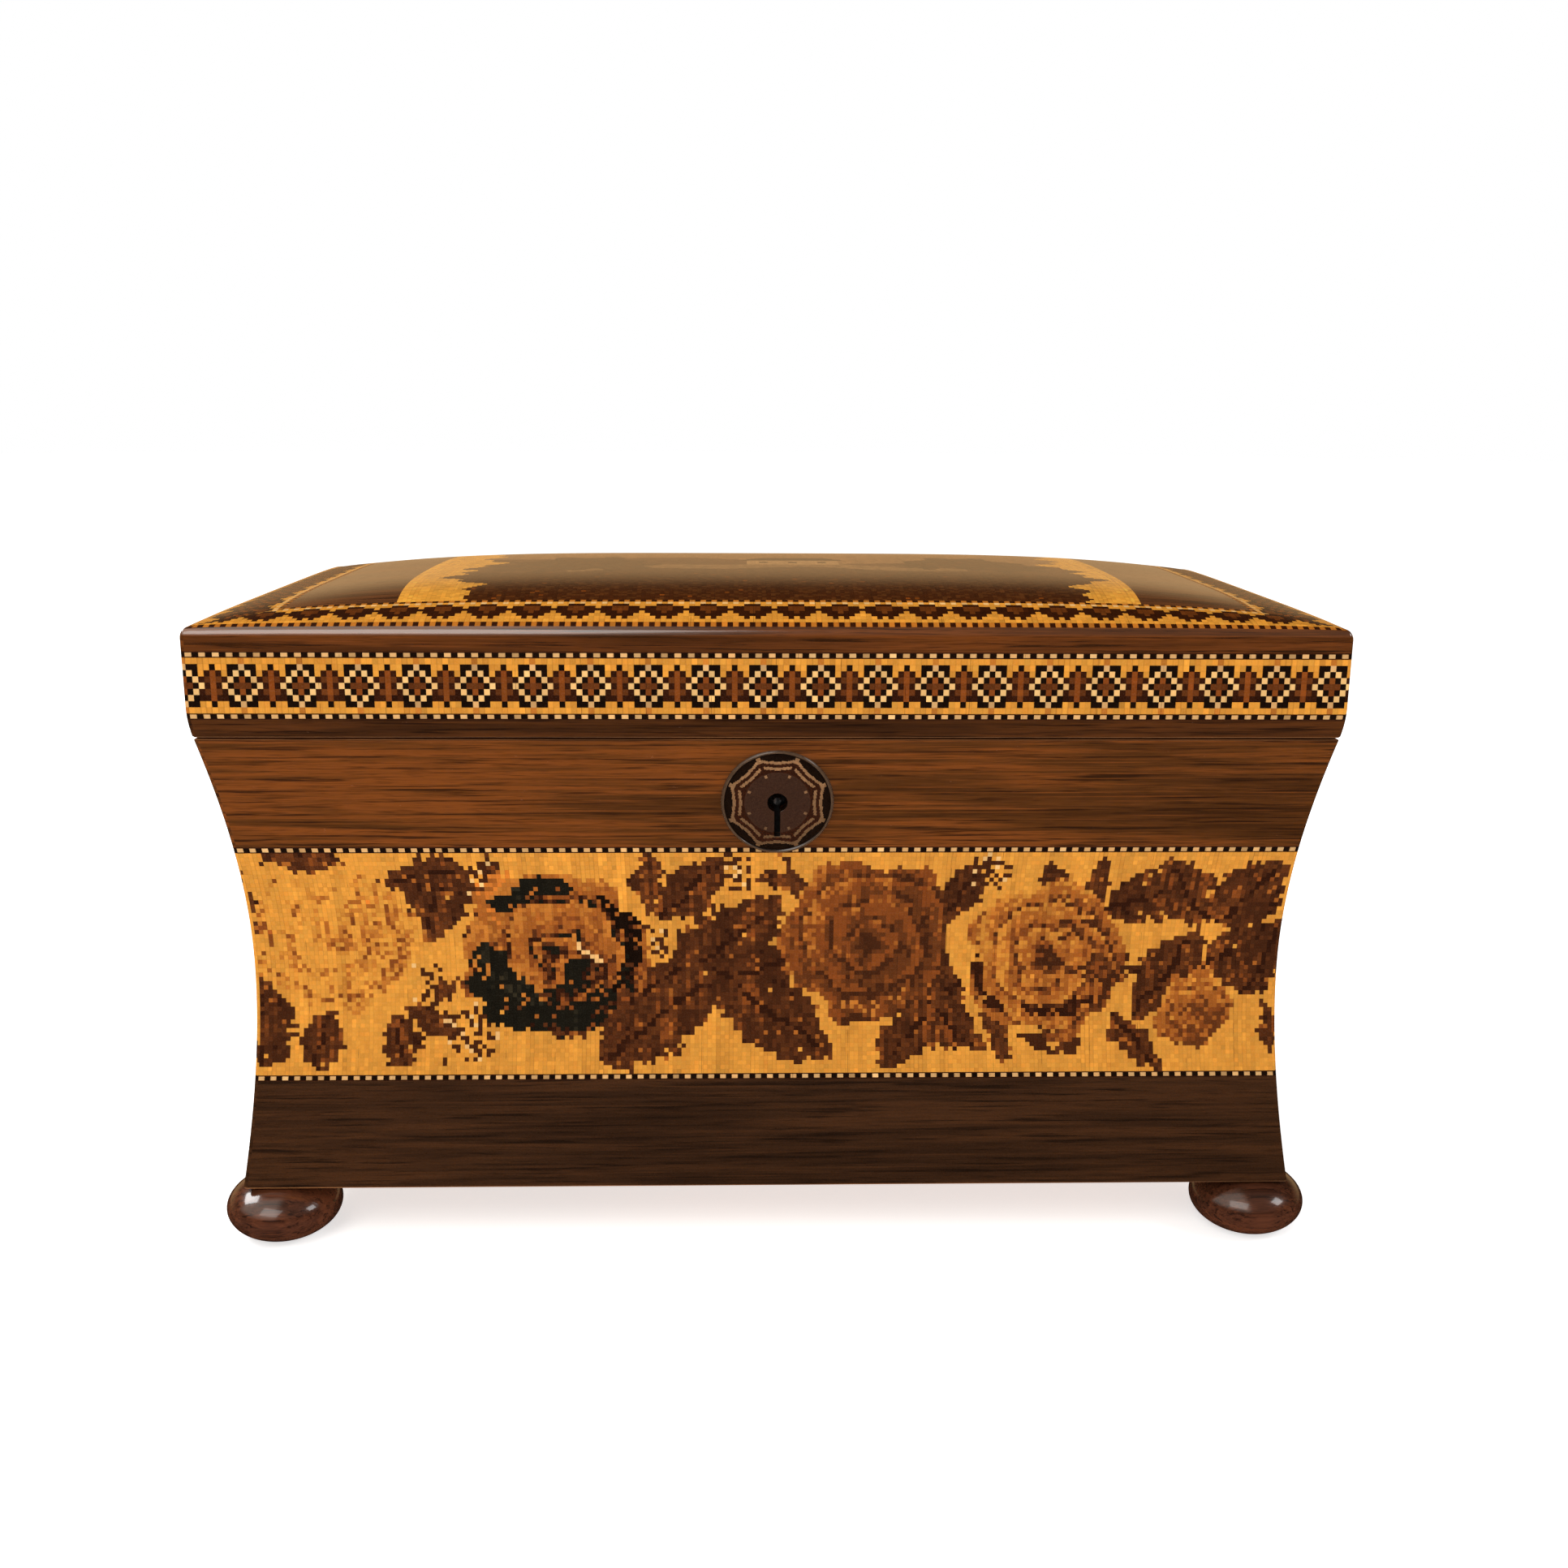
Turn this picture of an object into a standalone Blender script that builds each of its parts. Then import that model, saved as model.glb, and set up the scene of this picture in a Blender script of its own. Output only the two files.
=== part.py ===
"""Tunbridge ware tea caddy: a waisted box on four bun feet with a cushion lid that lifts off.

Metres, +Z up. The origin is on the surface that the feet stand on, under the middle of the
box. The front, with the keyhole, faces -Y, and the long side runs along X.
"""

import math

import bmesh
import bpy
from mathutils import Matrix, Vector

# Outline of the box and lid
RIM_WIDTH = 0.240              # lid, left to right
RIM_DEPTH = 0.124              # lid, front to back
BOX_HEIGHT = 0.1027            # underside of the box to the seam below the lid
LID_SIDE_HEIGHT = 0.0228       # seam to the rim
WAIST_ABOVE_BASE = 0.0512      # underside of the box to its narrowest place
TURN_ABOVE_SEAM = 0.0068       # the lid's side is upright from here up
SEAM_INSET = 0.0008            # how far the sides stand in from the rim, at the seam,
WAIST_INSET = 0.0076           # at the waist
BASE_INSET = 0.0029            # and at the bottom edge
SEAM_SLOPE = 0.235             # lean of the sides at the seam, inward going down
BASE_SLOPE = 0.16              # lean of the sides at the bottom edge, outward going down

# Cushion top of the lid: a dome, flat in its middle, and a slight roll along its edges
ROLL_WIDTH = 0.012
ROLL_RISE = 0.0006
DOME_RISE = 0.0065
DOME_POWER = 4

# Walls and hollows
WAIST_WALL = 0.0060            # thinnest place of the four walls
FLOOR_THICKNESS = 0.0060
LID_TOP_THICKNESS = 0.0050     # at the rim, under the cushion
LIP_HEIGHT = 0.0030            # low lip that keeps the lid in place
LIP_WALL = 0.0030
LIP_CLEARANCE = 0.0005

# Turned bun feet
FOOT_HEIGHT = 0.0125
FOOT_RADIUS = 0.0127
FOOT_SEAT_RADIUS = 0.0065      # flat top under the box
FOOT_SOLE_RADIUS = 0.0070      # flat that stands on the surface
FOOT_INSET = 0.0070            # centre of a foot, in from both bottom edges

# Round escutcheon, let into the front
ESCUTCHEON_RADIUS = 0.0120
ESCUTCHEON_BELOW_SEAM = 0.0142
ESCUTCHEON_OFFSET = 0.0013     # it sits a little to the right of the middle
ESCUTCHEON_PROUD = 0.0009
ESCUTCHEON_LET_IN = 0.0014
ESCUTCHEON_EDGE = 0.0016       # width of its rounded edge
KEYHOLE_RADIUS = 0.00215
KEYHOLE_SLOT_WIDTH = 0.0013
KEYHOLE_SLOT_DROP = 0.0079     # centre of the round hole to the end of the slot

# Lock behind the keyhole
LOCK_WIDTH = 0.036
LOCK_HEIGHT = 0.022
LOCK_THICKNESS = 0.0045
PIN_RADIUS = 0.0008
PIN_SETBACK = 0.0016           # tip of the pin, behind the face of the escutcheon

# Small roundings and fits
RIM_ROUND = 0.0020
CORNER_ROUND = 0.0009
EDGE_ROUND = 0.0004
GAP = 0.0003                   # between pieces that touch
ROUND_MARGIN = 0.0005          # from a rounding to the next line across the lid's top

# Fineness of the curved faces
BOX_ROWS = 18
LID_ROWS = 4
ROLL_STEPS = 5
DOME_STEPS = 14
ARC_STEPS = 5
FOOT_SIDES = 32
DISC_SIDES = 40
HOLE_SIDES = 20
BEVEL_SEGMENTS = 2
CUT_PAST = 0.002               # how far a cutter runs past the face it opens
MERGE = 0.00001

# Heights and faces that follow from the sizes above
BASE_Z = FOOT_HEIGHT + GAP
WAIST_Z = BASE_Z + WAIST_ABOVE_BASE
SEAM_Z = BASE_Z + BOX_HEIGHT
LID_Z = SEAM_Z + GAP
RIM_Z = LID_Z + LID_SIDE_HEIGHT
FLOOR_Z = BASE_Z + FLOOR_THICKNESS
HALF_WIDTH = RIM_WIDTH / 2
HALF_DEPTH = RIM_DEPTH / 2
INNER_HALF_WIDTH = HALF_WIDTH - WAIST_INSET - WAIST_WALL
INNER_HALF_DEPTH = HALF_DEPTH - WAIST_INSET - WAIST_WALL
KEYHOLE_Z = SEAM_Z - ESCUTCHEON_BELOW_SEAM

# Height, inset and lean of the sides, from the bottom edge up
SIDE_KNOTS = (
    (BASE_Z, BASE_INSET, BASE_SLOPE),
    (WAIST_Z, WAIST_INSET, 0.0),
    (SEAM_Z, SEAM_INSET, -SEAM_SLOPE),
    (SEAM_Z + TURN_ABOVE_SEAM, 0.0, 0.0),
)


def inset_at(z):
    """How far the sides stand in from the rim at a height: a smooth curve through the knots."""
    if z >= SIDE_KNOTS[-1][0]:
        return 0.0
    for (z0, inset0, slope0), (z1, inset1, slope1) in zip(SIDE_KNOTS, SIDE_KNOTS[1:]):
        if z <= z1:
            break
    span = z1 - z0
    t = max(z - z0, 0.0) / span
    return (
        inset0 * (2 * t**3 - 3 * t**2 + 1)
        + slope0 * span * (t**3 - 2 * t**2 + t)
        + inset1 * (3 * t**2 - 2 * t**3)
        + slope1 * span * (t**3 - t**2)
    )


def roll_at(distance):
    """Share of the rolled border's rise at a distance in from the rim."""
    return 1 - (1 - min(distance / ROLL_WIDTH, 1.0)) ** 2


def cushion_rise(x, y):
    """Height of the lid's top above its rim."""
    roll = roll_at(HALF_WIDTH - abs(x)) * roll_at(HALF_DEPTH - abs(y))
    dome = 1 - abs(x / HALF_WIDTH) ** DOME_POWER
    dome *= 1 - abs(y / HALF_DEPTH) ** DOME_POWER
    return ROLL_RISE * roll + DOME_RISE * dome


def clear_scene():
    for obj in list(bpy.data.objects):
        bpy.data.objects.remove(obj, do_unlink=True)


def new_collection(name):
    collection = bpy.data.collections.new(name)
    bpy.context.scene.collection.children.link(collection)
    return collection


def material(name, colour, roughness, metallic=0.0):
    mat = bpy.data.materials.new(name)
    mat.use_nodes = True
    shader = mat.node_tree.nodes["Principled BSDF"]
    shader.inputs["Base Color"].default_value = (*colour, 1.0)
    shader.inputs["Roughness"].default_value = roughness
    shader.inputs["Metallic"].default_value = metallic
    return mat


def add_object(name, mesh, collection, mat=None):
    obj = bpy.data.objects.new(name, mesh)
    if mat:
        obj.data.materials.append(mat)
    collection.objects.link(obj)
    return obj


def mesh_from(bm, name):
    mesh = bpy.data.meshes.new(name)
    bm.to_mesh(mesh)
    bm.free()
    return mesh


def block(low, high):
    """A cube as a bmesh, stretched between two corners."""
    bm = bmesh.new()
    bmesh.ops.create_cube(bm, size=1.0)
    low, high = Vector(low), Vector(high)
    bmesh.ops.scale(bm, vec=high - low, verts=bm.verts)
    bmesh.ops.translate(bm, vec=(low + high) / 2, verts=bm.verts)
    return bm


def slice_at(bm, axis, places):
    """Adds an edge loop around a block at each place along an axis."""
    normal = Vector((0, 0, 0))
    normal[axis] = 1.0
    for place in places:
        geometry = bm.verts[:] + bm.edges[:] + bm.faces[:]
        bmesh.ops.bisect_plane(bm, geom=geometry, plane_co=normal * place, plane_no=normal)


def round_edges(obj, bm, rounds):
    """Marks edges by a rule for each rounding and adds one Bevel that reads the marks."""
    widest = max(width for width, _ in rounds)
    layer = bm.edges.layers.float.new("bevel_weight_edge")
    for width, is_edge in rounds:
        for edge in bm.edges:
            if is_edge(*(vert.co for vert in edge.verts)):
                edge[layer] = width / widest
    bm.to_mesh(obj.data)
    bm.free()
    bevel = obj.modifiers.new("rounded edges", "BEVEL")
    bevel.limit_method = "WEIGHT"
    bevel.width = widest
    bevel.segments = BEVEL_SEGMENTS


def lies_at(z):
    return lambda a, b: abs(a.z - z) < MERGE and abs(b.z - z) < MERGE


def on_corner(a, b):
    """True for an edge that runs up one of the four corners."""
    def at_corner(co):
        wide = HALF_WIDTH - inset_at(co.z) - abs(co.x) < MERGE
        deep = HALF_DEPTH - inset_at(co.z) - abs(co.y) < MERGE
        return wide and deep
    return at_corner(a) and at_corner(b) and abs(a.z - b.z) > MERGE


def on_outline_at(z):
    """True for an edge of the outer outline at a height, not for one inside it."""
    def outside(co):
        wide = HALF_WIDTH - inset_at(z) - abs(co.x) < MERGE
        deep = HALF_DEPTH - inset_at(z) - abs(co.y) < MERGE
        return wide or deep
    level = lies_at(z)

    def test(a, b):
        crosses = abs(a.x - b.x) > MERGE and abs(a.y - b.y) > MERGE
        inward = not (outside(a) and outside(b)) or crosses
        return level(a, b) and not inward
    return test


def draw_in_sides(bm):
    """Moves the outer faces in by the side profile."""
    for vert in bm.verts:
        inset = inset_at(vert.co.z)
        if HALF_WIDTH - abs(vert.co.x) < MERGE:
            vert.co.x -= math.copysign(inset, vert.co.x)
        if HALF_DEPTH - abs(vert.co.y) < MERGE:
            vert.co.y -= math.copysign(inset, vert.co.y)


def cut(obj, cutter, operation="DIFFERENCE"):
    boolean = obj.modifiers.new(cutter.name, "BOOLEAN")
    boolean.operation = operation
    boolean.object = cutter
    boolean.solver = "EXACT"


def add_cutter(name, bm, collection):
    obj = add_object(name, mesh_from(bm, name), collection)
    obj.hide_render = True
    obj.display_type = "WIRE"
    return obj


def turned(name, profile, sides, collection, mat):
    """A turned piece: a profile at +X, from the top down its outer side, swept round Z."""
    mesh = bpy.data.meshes.new(name)
    mesh.from_pydata([(x, 0, z) for x, z in profile], [(i, i + 1) for i in range(len(profile) - 1)], [])
    obj = add_object(name, mesh, collection, mat)
    screw = obj.modifiers.new("turning", "SCREW")
    screw.steps = sides
    screw.render_steps = sides
    screw.use_merge_vertices = True
    screw.merge_threshold = MERGE
    screw.use_smooth_shade = True
    return obj


def make_box(parts, cutters, wood):
    bm = block((-HALF_WIDTH, -HALF_DEPTH, BASE_Z), (HALF_WIDTH, HALF_DEPTH, SEAM_Z))
    slice_at(bm, 2, [BASE_Z + BOX_HEIGHT * row / BOX_ROWS for row in range(1, BOX_ROWS)])
    draw_in_sides(bm)
    obj = add_object("box", bpy.data.meshes.new("box"), parts, wood)
    round_edges(obj, bm, (
        (CORNER_ROUND, on_corner),
        (EDGE_ROUND, lies_at(BASE_Z)),
        (EDGE_ROUND, lies_at(SEAM_Z)),
    ))

    lip_half_width = INNER_HALF_WIDTH + LIP_WALL
    lip_half_depth = INNER_HALF_DEPTH + LIP_WALL
    lip = block(
        (-lip_half_width, -lip_half_depth, SEAM_Z - CUT_PAST),
        (lip_half_width, lip_half_depth, SEAM_Z + LIP_HEIGHT),
    )
    cut(obj, add_cutter("lip_block", lip, cutters), "UNION")
    hollow = block(
        (-INNER_HALF_WIDTH, -INNER_HALF_DEPTH, FLOOR_Z),
        (INNER_HALF_WIDTH, INNER_HALF_DEPTH, SEAM_Z + LIP_HEIGHT + CUT_PAST),
    )
    cut(obj, add_cutter("box_hollow", hollow, cutters))
    return obj


def make_lid(parts, cutters, wood):
    bm = block((-HALF_WIDTH, -HALF_DEPTH, LID_Z), (HALF_WIDTH, HALF_DEPTH, RIM_Z))
    slice_at(bm, 2, [LID_Z + TURN_ABOVE_SEAM * row / LID_ROWS for row in range(1, LID_ROWS + 1)])
    for axis, half in ((0, HALF_WIDTH), (1, HALF_DEPTH)):
        edge = half - ROLL_WIDTH
        reach = ROLL_WIDTH - RIM_ROUND - ROUND_MARGIN
        rolls = [edge + reach * step / ROLL_STEPS for step in range(ROLL_STEPS + 1)]
        domes = [edge * (2 * step / DOME_STEPS - 1) for step in range(1, DOME_STEPS)]
        slice_at(bm, axis, [-place for place in reversed(rolls)] + domes + rolls)
    draw_in_sides(bm)
    for vert in bm.verts:
        if abs(vert.co.z - RIM_Z) < MERGE:
            vert.co.z += cushion_rise(vert.co.x, vert.co.y)
    obj = add_object("lid", bpy.data.meshes.new("lid"), parts, wood)
    round_edges(obj, bm, (
        (CORNER_ROUND, on_corner),
        (EDGE_ROUND, on_outline_at(LID_Z)),
        (RIM_ROUND, on_outline_at(RIM_Z)),
    ))

    half_width = INNER_HALF_WIDTH + LIP_WALL + LIP_CLEARANCE
    half_depth = INNER_HALF_DEPTH + LIP_WALL + LIP_CLEARANCE
    hollow = block(
        (-half_width, -half_depth, LID_Z - CUT_PAST),
        (half_width, half_depth, RIM_Z - LID_TOP_THICKNESS),
    )
    cut(obj, add_cutter("lid_hollow", hollow, cutters))
    return obj


def foot_profile():
    """A squashed ball with a flat seat above and a flat sole below."""
    middle = FOOT_HEIGHT / 2
    top_angle = math.acos(FOOT_SEAT_RADIUS / FOOT_RADIUS)
    sole_angle = math.acos(FOOT_SOLE_RADIUS / FOOT_RADIUS)
    points = [(0.0, FOOT_HEIGHT)]
    for step in range(-ARC_STEPS, ARC_STEPS + 1):
        end = top_angle if step < 0 else sole_angle
        angle = end * abs(step) / ARC_STEPS
        rise = middle * math.sin(angle) / math.sin(end)
        points.append((FOOT_RADIUS * math.cos(angle), middle + (rise if step < 0 else -rise)))
    points.append((0.0, 0.0))
    return points


def make_feet(parts, wood):
    across = HALF_WIDTH - BASE_INSET - FOOT_INSET
    along = HALF_DEPTH - BASE_INSET - FOOT_INSET
    for name, x, y in (
        ("foot_front_left", -across, -along),
        ("foot_front_right", across, -along),
        ("foot_back_left", -across, along),
        ("foot_back_right", across, along),
    ):
        foot = turned(name, foot_profile(), FOOT_SIDES, parts, wood)
        foot.location = (x, y, 0.0)


def escutcheon_frame():
    """Place and turn of the disc: its own +Z points out of the sloping front."""
    step = ESCUTCHEON_RADIUS
    lean = (inset_at(KEYHOLE_Z - step) - inset_at(KEYHOLE_Z + step)) / (2 * step)
    face = Vector((ESCUTCHEON_OFFSET, -HALF_DEPTH + inset_at(KEYHOLE_Z), KEYHOLE_Z))
    return Matrix.Translation(face) @ Matrix.Rotation(math.pi / 2 + math.atan(lean), 4, "X")


def disc_profile(radius, bottom, top, edge):
    """A disc with a quarter-round edge, from the middle of its face to the middle of its back."""
    points = [(0.0, top)]
    for step in range(ARC_STEPS + 1):
        angle = math.pi / 2 * step / ARC_STEPS
        points.append((radius - edge + edge * math.sin(angle), top * math.cos(angle)))
    points += [(radius, bottom), (0.0, bottom)]
    return points


def keyhole_cutters(cutters):
    """The round hole and its slot, both running from before the disc to inside the lock's place."""
    front = -HALF_DEPTH - CUT_PAST
    back = -INNER_HALF_DEPTH - LOCK_THICKNESS + GAP
    bm = bmesh.new()
    bmesh.ops.create_cone(
        bm, cap_ends=True, segments=HOLE_SIDES, radius1=KEYHOLE_RADIUS, radius2=KEYHOLE_RADIUS,
        depth=back - front,
        matrix=Matrix.Translation((ESCUTCHEON_OFFSET, (front + back) / 2, KEYHOLE_Z))
        @ Matrix.Rotation(math.pi / 2, 4, "X"),
    )
    round_hole = add_cutter("keyhole_round", bm, cutters)
    slot = block(
        (ESCUTCHEON_OFFSET - KEYHOLE_SLOT_WIDTH / 2, front, KEYHOLE_Z - KEYHOLE_SLOT_DROP),
        (ESCUTCHEON_OFFSET + KEYHOLE_SLOT_WIDTH / 2, back, KEYHOLE_Z),
    )
    return round_hole, add_cutter("keyhole_slot", slot, cutters)


def make_escutcheon(parts, cutters, box, stickware):
    frame = escutcheon_frame()
    profile = disc_profile(ESCUTCHEON_RADIUS, -ESCUTCHEON_LET_IN, ESCUTCHEON_PROUD, ESCUTCHEON_EDGE)
    disc = turned("escutcheon", profile, DISC_SIDES, parts, stickware)
    disc.matrix_world = frame

    depth = ESCUTCHEON_LET_IN + GAP
    bm = bmesh.new()
    bmesh.ops.create_cone(
        bm, cap_ends=True, segments=DISC_SIDES, radius1=ESCUTCHEON_RADIUS + GAP,
        radius2=ESCUTCHEON_RADIUS + GAP, depth=depth + CUT_PAST,
        matrix=frame @ Matrix.Translation((0, 0, (CUT_PAST - depth) / 2)),
    )
    cut(box, add_cutter("escutcheon_seat", bm, cutters))
    for cutter in keyhole_cutters(cutters):
        cut(box, cutter)
        cut(disc, cutter)


def make_lock(parts, cutters, box, steel):
    """The lock's case, flush with the inner face, and the pin that shows in the keyhole."""
    inner = -INNER_HALF_DEPTH
    case_low = (ESCUTCHEON_OFFSET - LOCK_WIDTH / 2, inner - LOCK_THICKNESS, KEYHOLE_Z - LOCK_HEIGHT / 2)
    case_high = (ESCUTCHEON_OFFSET + LOCK_WIDTH / 2, inner, KEYHOLE_Z + LOCK_HEIGHT / 2)
    case = add_object("lock", mesh_from(block(case_low, case_high), "lock"), parts, steel)

    margin = Vector((GAP, GAP, GAP))
    pocket = block(
        Vector(case_low) - margin,
        Vector(case_high) + margin + Vector((0, CUT_PAST, 0)),
    )
    cut(box, add_cutter("lock_pocket", pocket, cutters))

    tip = -HALF_DEPTH + inset_at(KEYHOLE_Z) - ESCUTCHEON_PROUD + PIN_SETBACK
    root = inner - LOCK_THICKNESS / 2
    bm = bmesh.new()
    bmesh.ops.create_cone(
        bm, cap_ends=True, segments=HOLE_SIDES, radius1=PIN_RADIUS, radius2=PIN_RADIUS,
        depth=root - tip,
        matrix=Matrix.Translation((ESCUTCHEON_OFFSET, (root + tip) / 2, KEYHOLE_Z))
        @ Matrix.Rotation(math.pi / 2, 4, "X"),
    )
    cut(case, add_cutter("lock_pin", bm, cutters), "UNION")


def main():
    clear_scene()
    parts = new_collection("tunbridge_ware_tea_caddy")
    cutters = new_collection("cutters")
    veneer = material("rosewood veneer", (0.17, 0.060, 0.022), 0.25)
    lid_veneer = material("rosewood veneer of the lid", (0.20, 0.075, 0.028), 0.22)
    foot_wood = material("turned rosewood", (0.11, 0.030, 0.014), 0.22)
    stickware = material("turned stickware", (0.28, 0.13, 0.05), 0.30)
    steel = material("lock steel", (0.42, 0.40, 0.38), 0.45, 1.0)

    box = make_box(parts, cutters, veneer)
    make_lid(parts, cutters, lid_veneer)
    make_feet(parts, foot_wood)
    make_escutcheon(parts, cutters, box, stickware)
    make_lock(parts, cutters, box, steel)


if __name__ == "__main__":
    main()
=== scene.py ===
"""Tunbridge ware tea caddy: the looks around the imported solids.

Metres, +Z up, the front faces -Y. Veneers, mosaics and stringing are thin strips laid on the
carcass of the box and the lid. Each mosaic has one face per tessera.
"""

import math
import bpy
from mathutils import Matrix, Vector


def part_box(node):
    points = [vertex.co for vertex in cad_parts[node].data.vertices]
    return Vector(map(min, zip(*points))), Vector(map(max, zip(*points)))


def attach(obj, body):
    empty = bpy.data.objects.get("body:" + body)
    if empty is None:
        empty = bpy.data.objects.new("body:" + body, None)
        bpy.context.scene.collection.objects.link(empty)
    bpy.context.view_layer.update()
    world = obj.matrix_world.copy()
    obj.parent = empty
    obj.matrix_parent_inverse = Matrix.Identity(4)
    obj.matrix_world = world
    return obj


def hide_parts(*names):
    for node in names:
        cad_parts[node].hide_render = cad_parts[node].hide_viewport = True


bl_info = {
    "name": "Tunbridge ware tea caddy",
    "version": (1, 0, 0),
    "blender": (4, 5, 0),
    "location": "3D View > Sidebar > Tea caddy",
    "description": "Builds the veneers, mosaics, escutcheon and feet of a tunbridge ware tea caddy",
    "category": "Object",
}

import bmesh
import bpy
import numpy as np
from mathutils import Matrix, Vector

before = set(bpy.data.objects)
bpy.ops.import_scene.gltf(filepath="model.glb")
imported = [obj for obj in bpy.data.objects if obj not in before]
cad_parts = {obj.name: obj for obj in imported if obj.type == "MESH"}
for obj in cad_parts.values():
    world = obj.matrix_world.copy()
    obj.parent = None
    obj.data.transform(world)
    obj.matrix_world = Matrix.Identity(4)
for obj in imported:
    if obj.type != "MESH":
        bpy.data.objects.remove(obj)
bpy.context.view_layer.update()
LID_LOW, LID_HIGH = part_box("lid")
BOX_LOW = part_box("box")[0]
DISC_LOW, DISC_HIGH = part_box("escutcheon")
FOOT_LOW, FOOT_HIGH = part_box("foot_front_left")

MM = 0.001
SEED = 1830  # of every random draw, each mosaic adding its own number

# Outline of the carcass, as in the solids
HALF_WIDTH = (LID_HIGH[0] - LID_LOW[0]) / 2
HALF_DEPTH = (LID_HIGH[1] - LID_LOW[1]) / 2
BASE_Z = BOX_LOW[2]
BOX_HEIGHT = 102.7 * MM
SEAM_Z = BASE_Z + BOX_HEIGHT
LID_Z = LID_LOW[2]
RIM_Z = LID_Z + 22.8 * MM
SIDE_KNOTS = (
    (BASE_Z, 2.9 * MM, 0.16),
    (BASE_Z + 51.2 * MM, 7.6 * MM, 0.0),
    (SEAM_Z, 0.8 * MM, -0.235),
    (SEAM_Z + 6.8 * MM, 0.0, 0.0),
)
CORNER_ROUND = 0.9 * MM
ROLL_WIDTH = 12 * MM
ROLL_RISE = 0.6 * MM
DOME_RISE = 6.5 * MM
DOME_POWER = 4
RIM_ROUND = 2.0 * MM
KEYHOLE_RADIUS = 2.15 * MM
SLOT_WIDTH = 1.3 * MM
SLOT_DROP = 7.9 * MM
FOOT_SEAT_RADIUS = 6.5 * MM
FOOT_SOLE_RADIUS = 7.0 * MM

# Cuts on the escutcheon's axis: the hole in the veneer behind it, and the length of each cutter
VENEER_HOLE_RADIUS = 10 * MM
CUT_DEPTH = 8 * MM

# Heights of the strips, from the bottom edge up
PLINTH_TOP = 37.2 * MM
FLORAL_LOW = 38.55 * MM
FLORAL_HIGH = 89.65 * MM
BOX_LINE_TOP = 91.0 * MM
LID_VENEER_TOP = 119.75 * MM
DIAMOND_LOW = 121.05 * MM
DIAMOND_HIGH = 132.55 * MM
LID_LINE_TOP = 133.85 * MM
BASE_SHY = 0.4 * MM  # the veneers stop this short of the bottom edge
SEAM_SHY = 0.25 * MM  # and this short of the seam
LINE_SHARES = (0, 0.17, 0.83, 1)  # of a dotted line's height, where its squares start and end

# Border of the lid's top: its outer edge, and its inner edges along the front and at the ends
BORDER_EDGE = 1.0 * MM
BORDER_INNER = 12.0 * MM
END_BORDER_INNER = 18.0 * MM

# Fineness of the pieces
VENEER_CELL = 3 * MM
CORNER_STEPS = 3
FOLD_STEPS = 6
DISC_SIDES = 144
FOOT_SIDES = 72
FOOT_STEPS = 14
PICTURE_COLUMNS, PICTURE_ROWS = 160, 102
SPANDREL_STEPS = 12
SPANDREL_ROWS = 3  # rows of the picture to one row of a spandrel
LEAN_ALLOWANCE = 4 * MM  # taken off a side's half length before its columns are counted

# Camera, fitted to the photograph
CAMERA_PLACE = (-0.0060, -0.3819, 0.1831)
CAMERA_TURN = (13.518, 1.536, 0.343)  # degrees down, to the right and rolled
CAMERA_LENS = 36.21  # millimetres, as is the sensor's width
CAMERA_SENSOR = 36

# The sides from the front round by the right: the way out, and the way along
SIDES = (
    ((0, -1), (1, 0)),
    ((1, 0), (0, 1)),
    ((0, 1), (-1, 0)),
    ((-1, 0), (0, -1)),
)


def inset_at(z):
    """How far the sides stand in from the rim at a height, as in the solids."""
    if z >= SIDE_KNOTS[-1][0]:
        return 0.0
    for (z0, inset0, slope0), (z1, inset1, slope1) in zip(SIDE_KNOTS, SIDE_KNOTS[1:]):
        if z <= z1:
            break
    span = z1 - z0
    t = max(z - z0, 0.0) / span
    return (
        inset0 * (2 * t**3 - 3 * t**2 + 1)
        + slope0 * span * (t**3 - 2 * t**2 + t)
        + inset1 * (3 * t**2 - 2 * t**3)
        + slope1 * span * (t**3 - t**2)
    )


def cushion_rise(x, y):
    """Height of the lid's top above its rim, for arrays of places."""
    wide = np.clip((HALF_WIDTH - np.abs(x)) / ROLL_WIDTH, 0, 1)
    deep = np.clip((HALF_DEPTH - np.abs(y)) / ROLL_WIDTH, 0, 1)
    roll = (1 - (1 - wide) ** 2) * (1 - (1 - deep) ** 2)
    dome = 1 - np.abs(x / HALF_WIDTH) ** DOME_POWER
    dome = dome * (1 - np.abs(y / HALF_DEPTH) ** DOME_POWER)
    return ROLL_RISE * roll + DOME_RISE * dome


def rim_drop(inward):
    """How far the rounded edge of the lid's top falls, at a distance in from the side."""
    bend = np.clip(1 - inward / RIM_ROUND, 0, 1)
    return RIM_ROUND * (1 - np.sqrt(1 - bend ** 2))


def linear(colour):
    """An sRGB colour of 0 to 255 as linear light."""
    values = []
    for channel in colour:
        c = channel / 255
        values.append(c / 12.92 if c <= 0.04045 else ((c + 0.055) / 1.055) ** 2.4)
    return tuple(values)


# Woods of the mosaics
GOLD = linear((212, 142, 48))
CREAM = linear((226, 178, 112))
TAN = linear((204, 158, 102))
HONEY = linear((200, 128, 40))
AMBER = linear((184, 110, 33))
ORANGE = linear((160, 88, 22))
RUSSET = linear((128, 64, 14))
BROWN = linear((98, 49, 12))
WALNUT = linear((84, 41, 11))
LEAF = linear((70, 33, 8))
UMBER = linear((52, 21, 4))
BLACK = linear((26, 12, 4))
GREY_BLACK = linear((27, 23, 14))
SLATE = linear((52, 44, 28))


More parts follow.
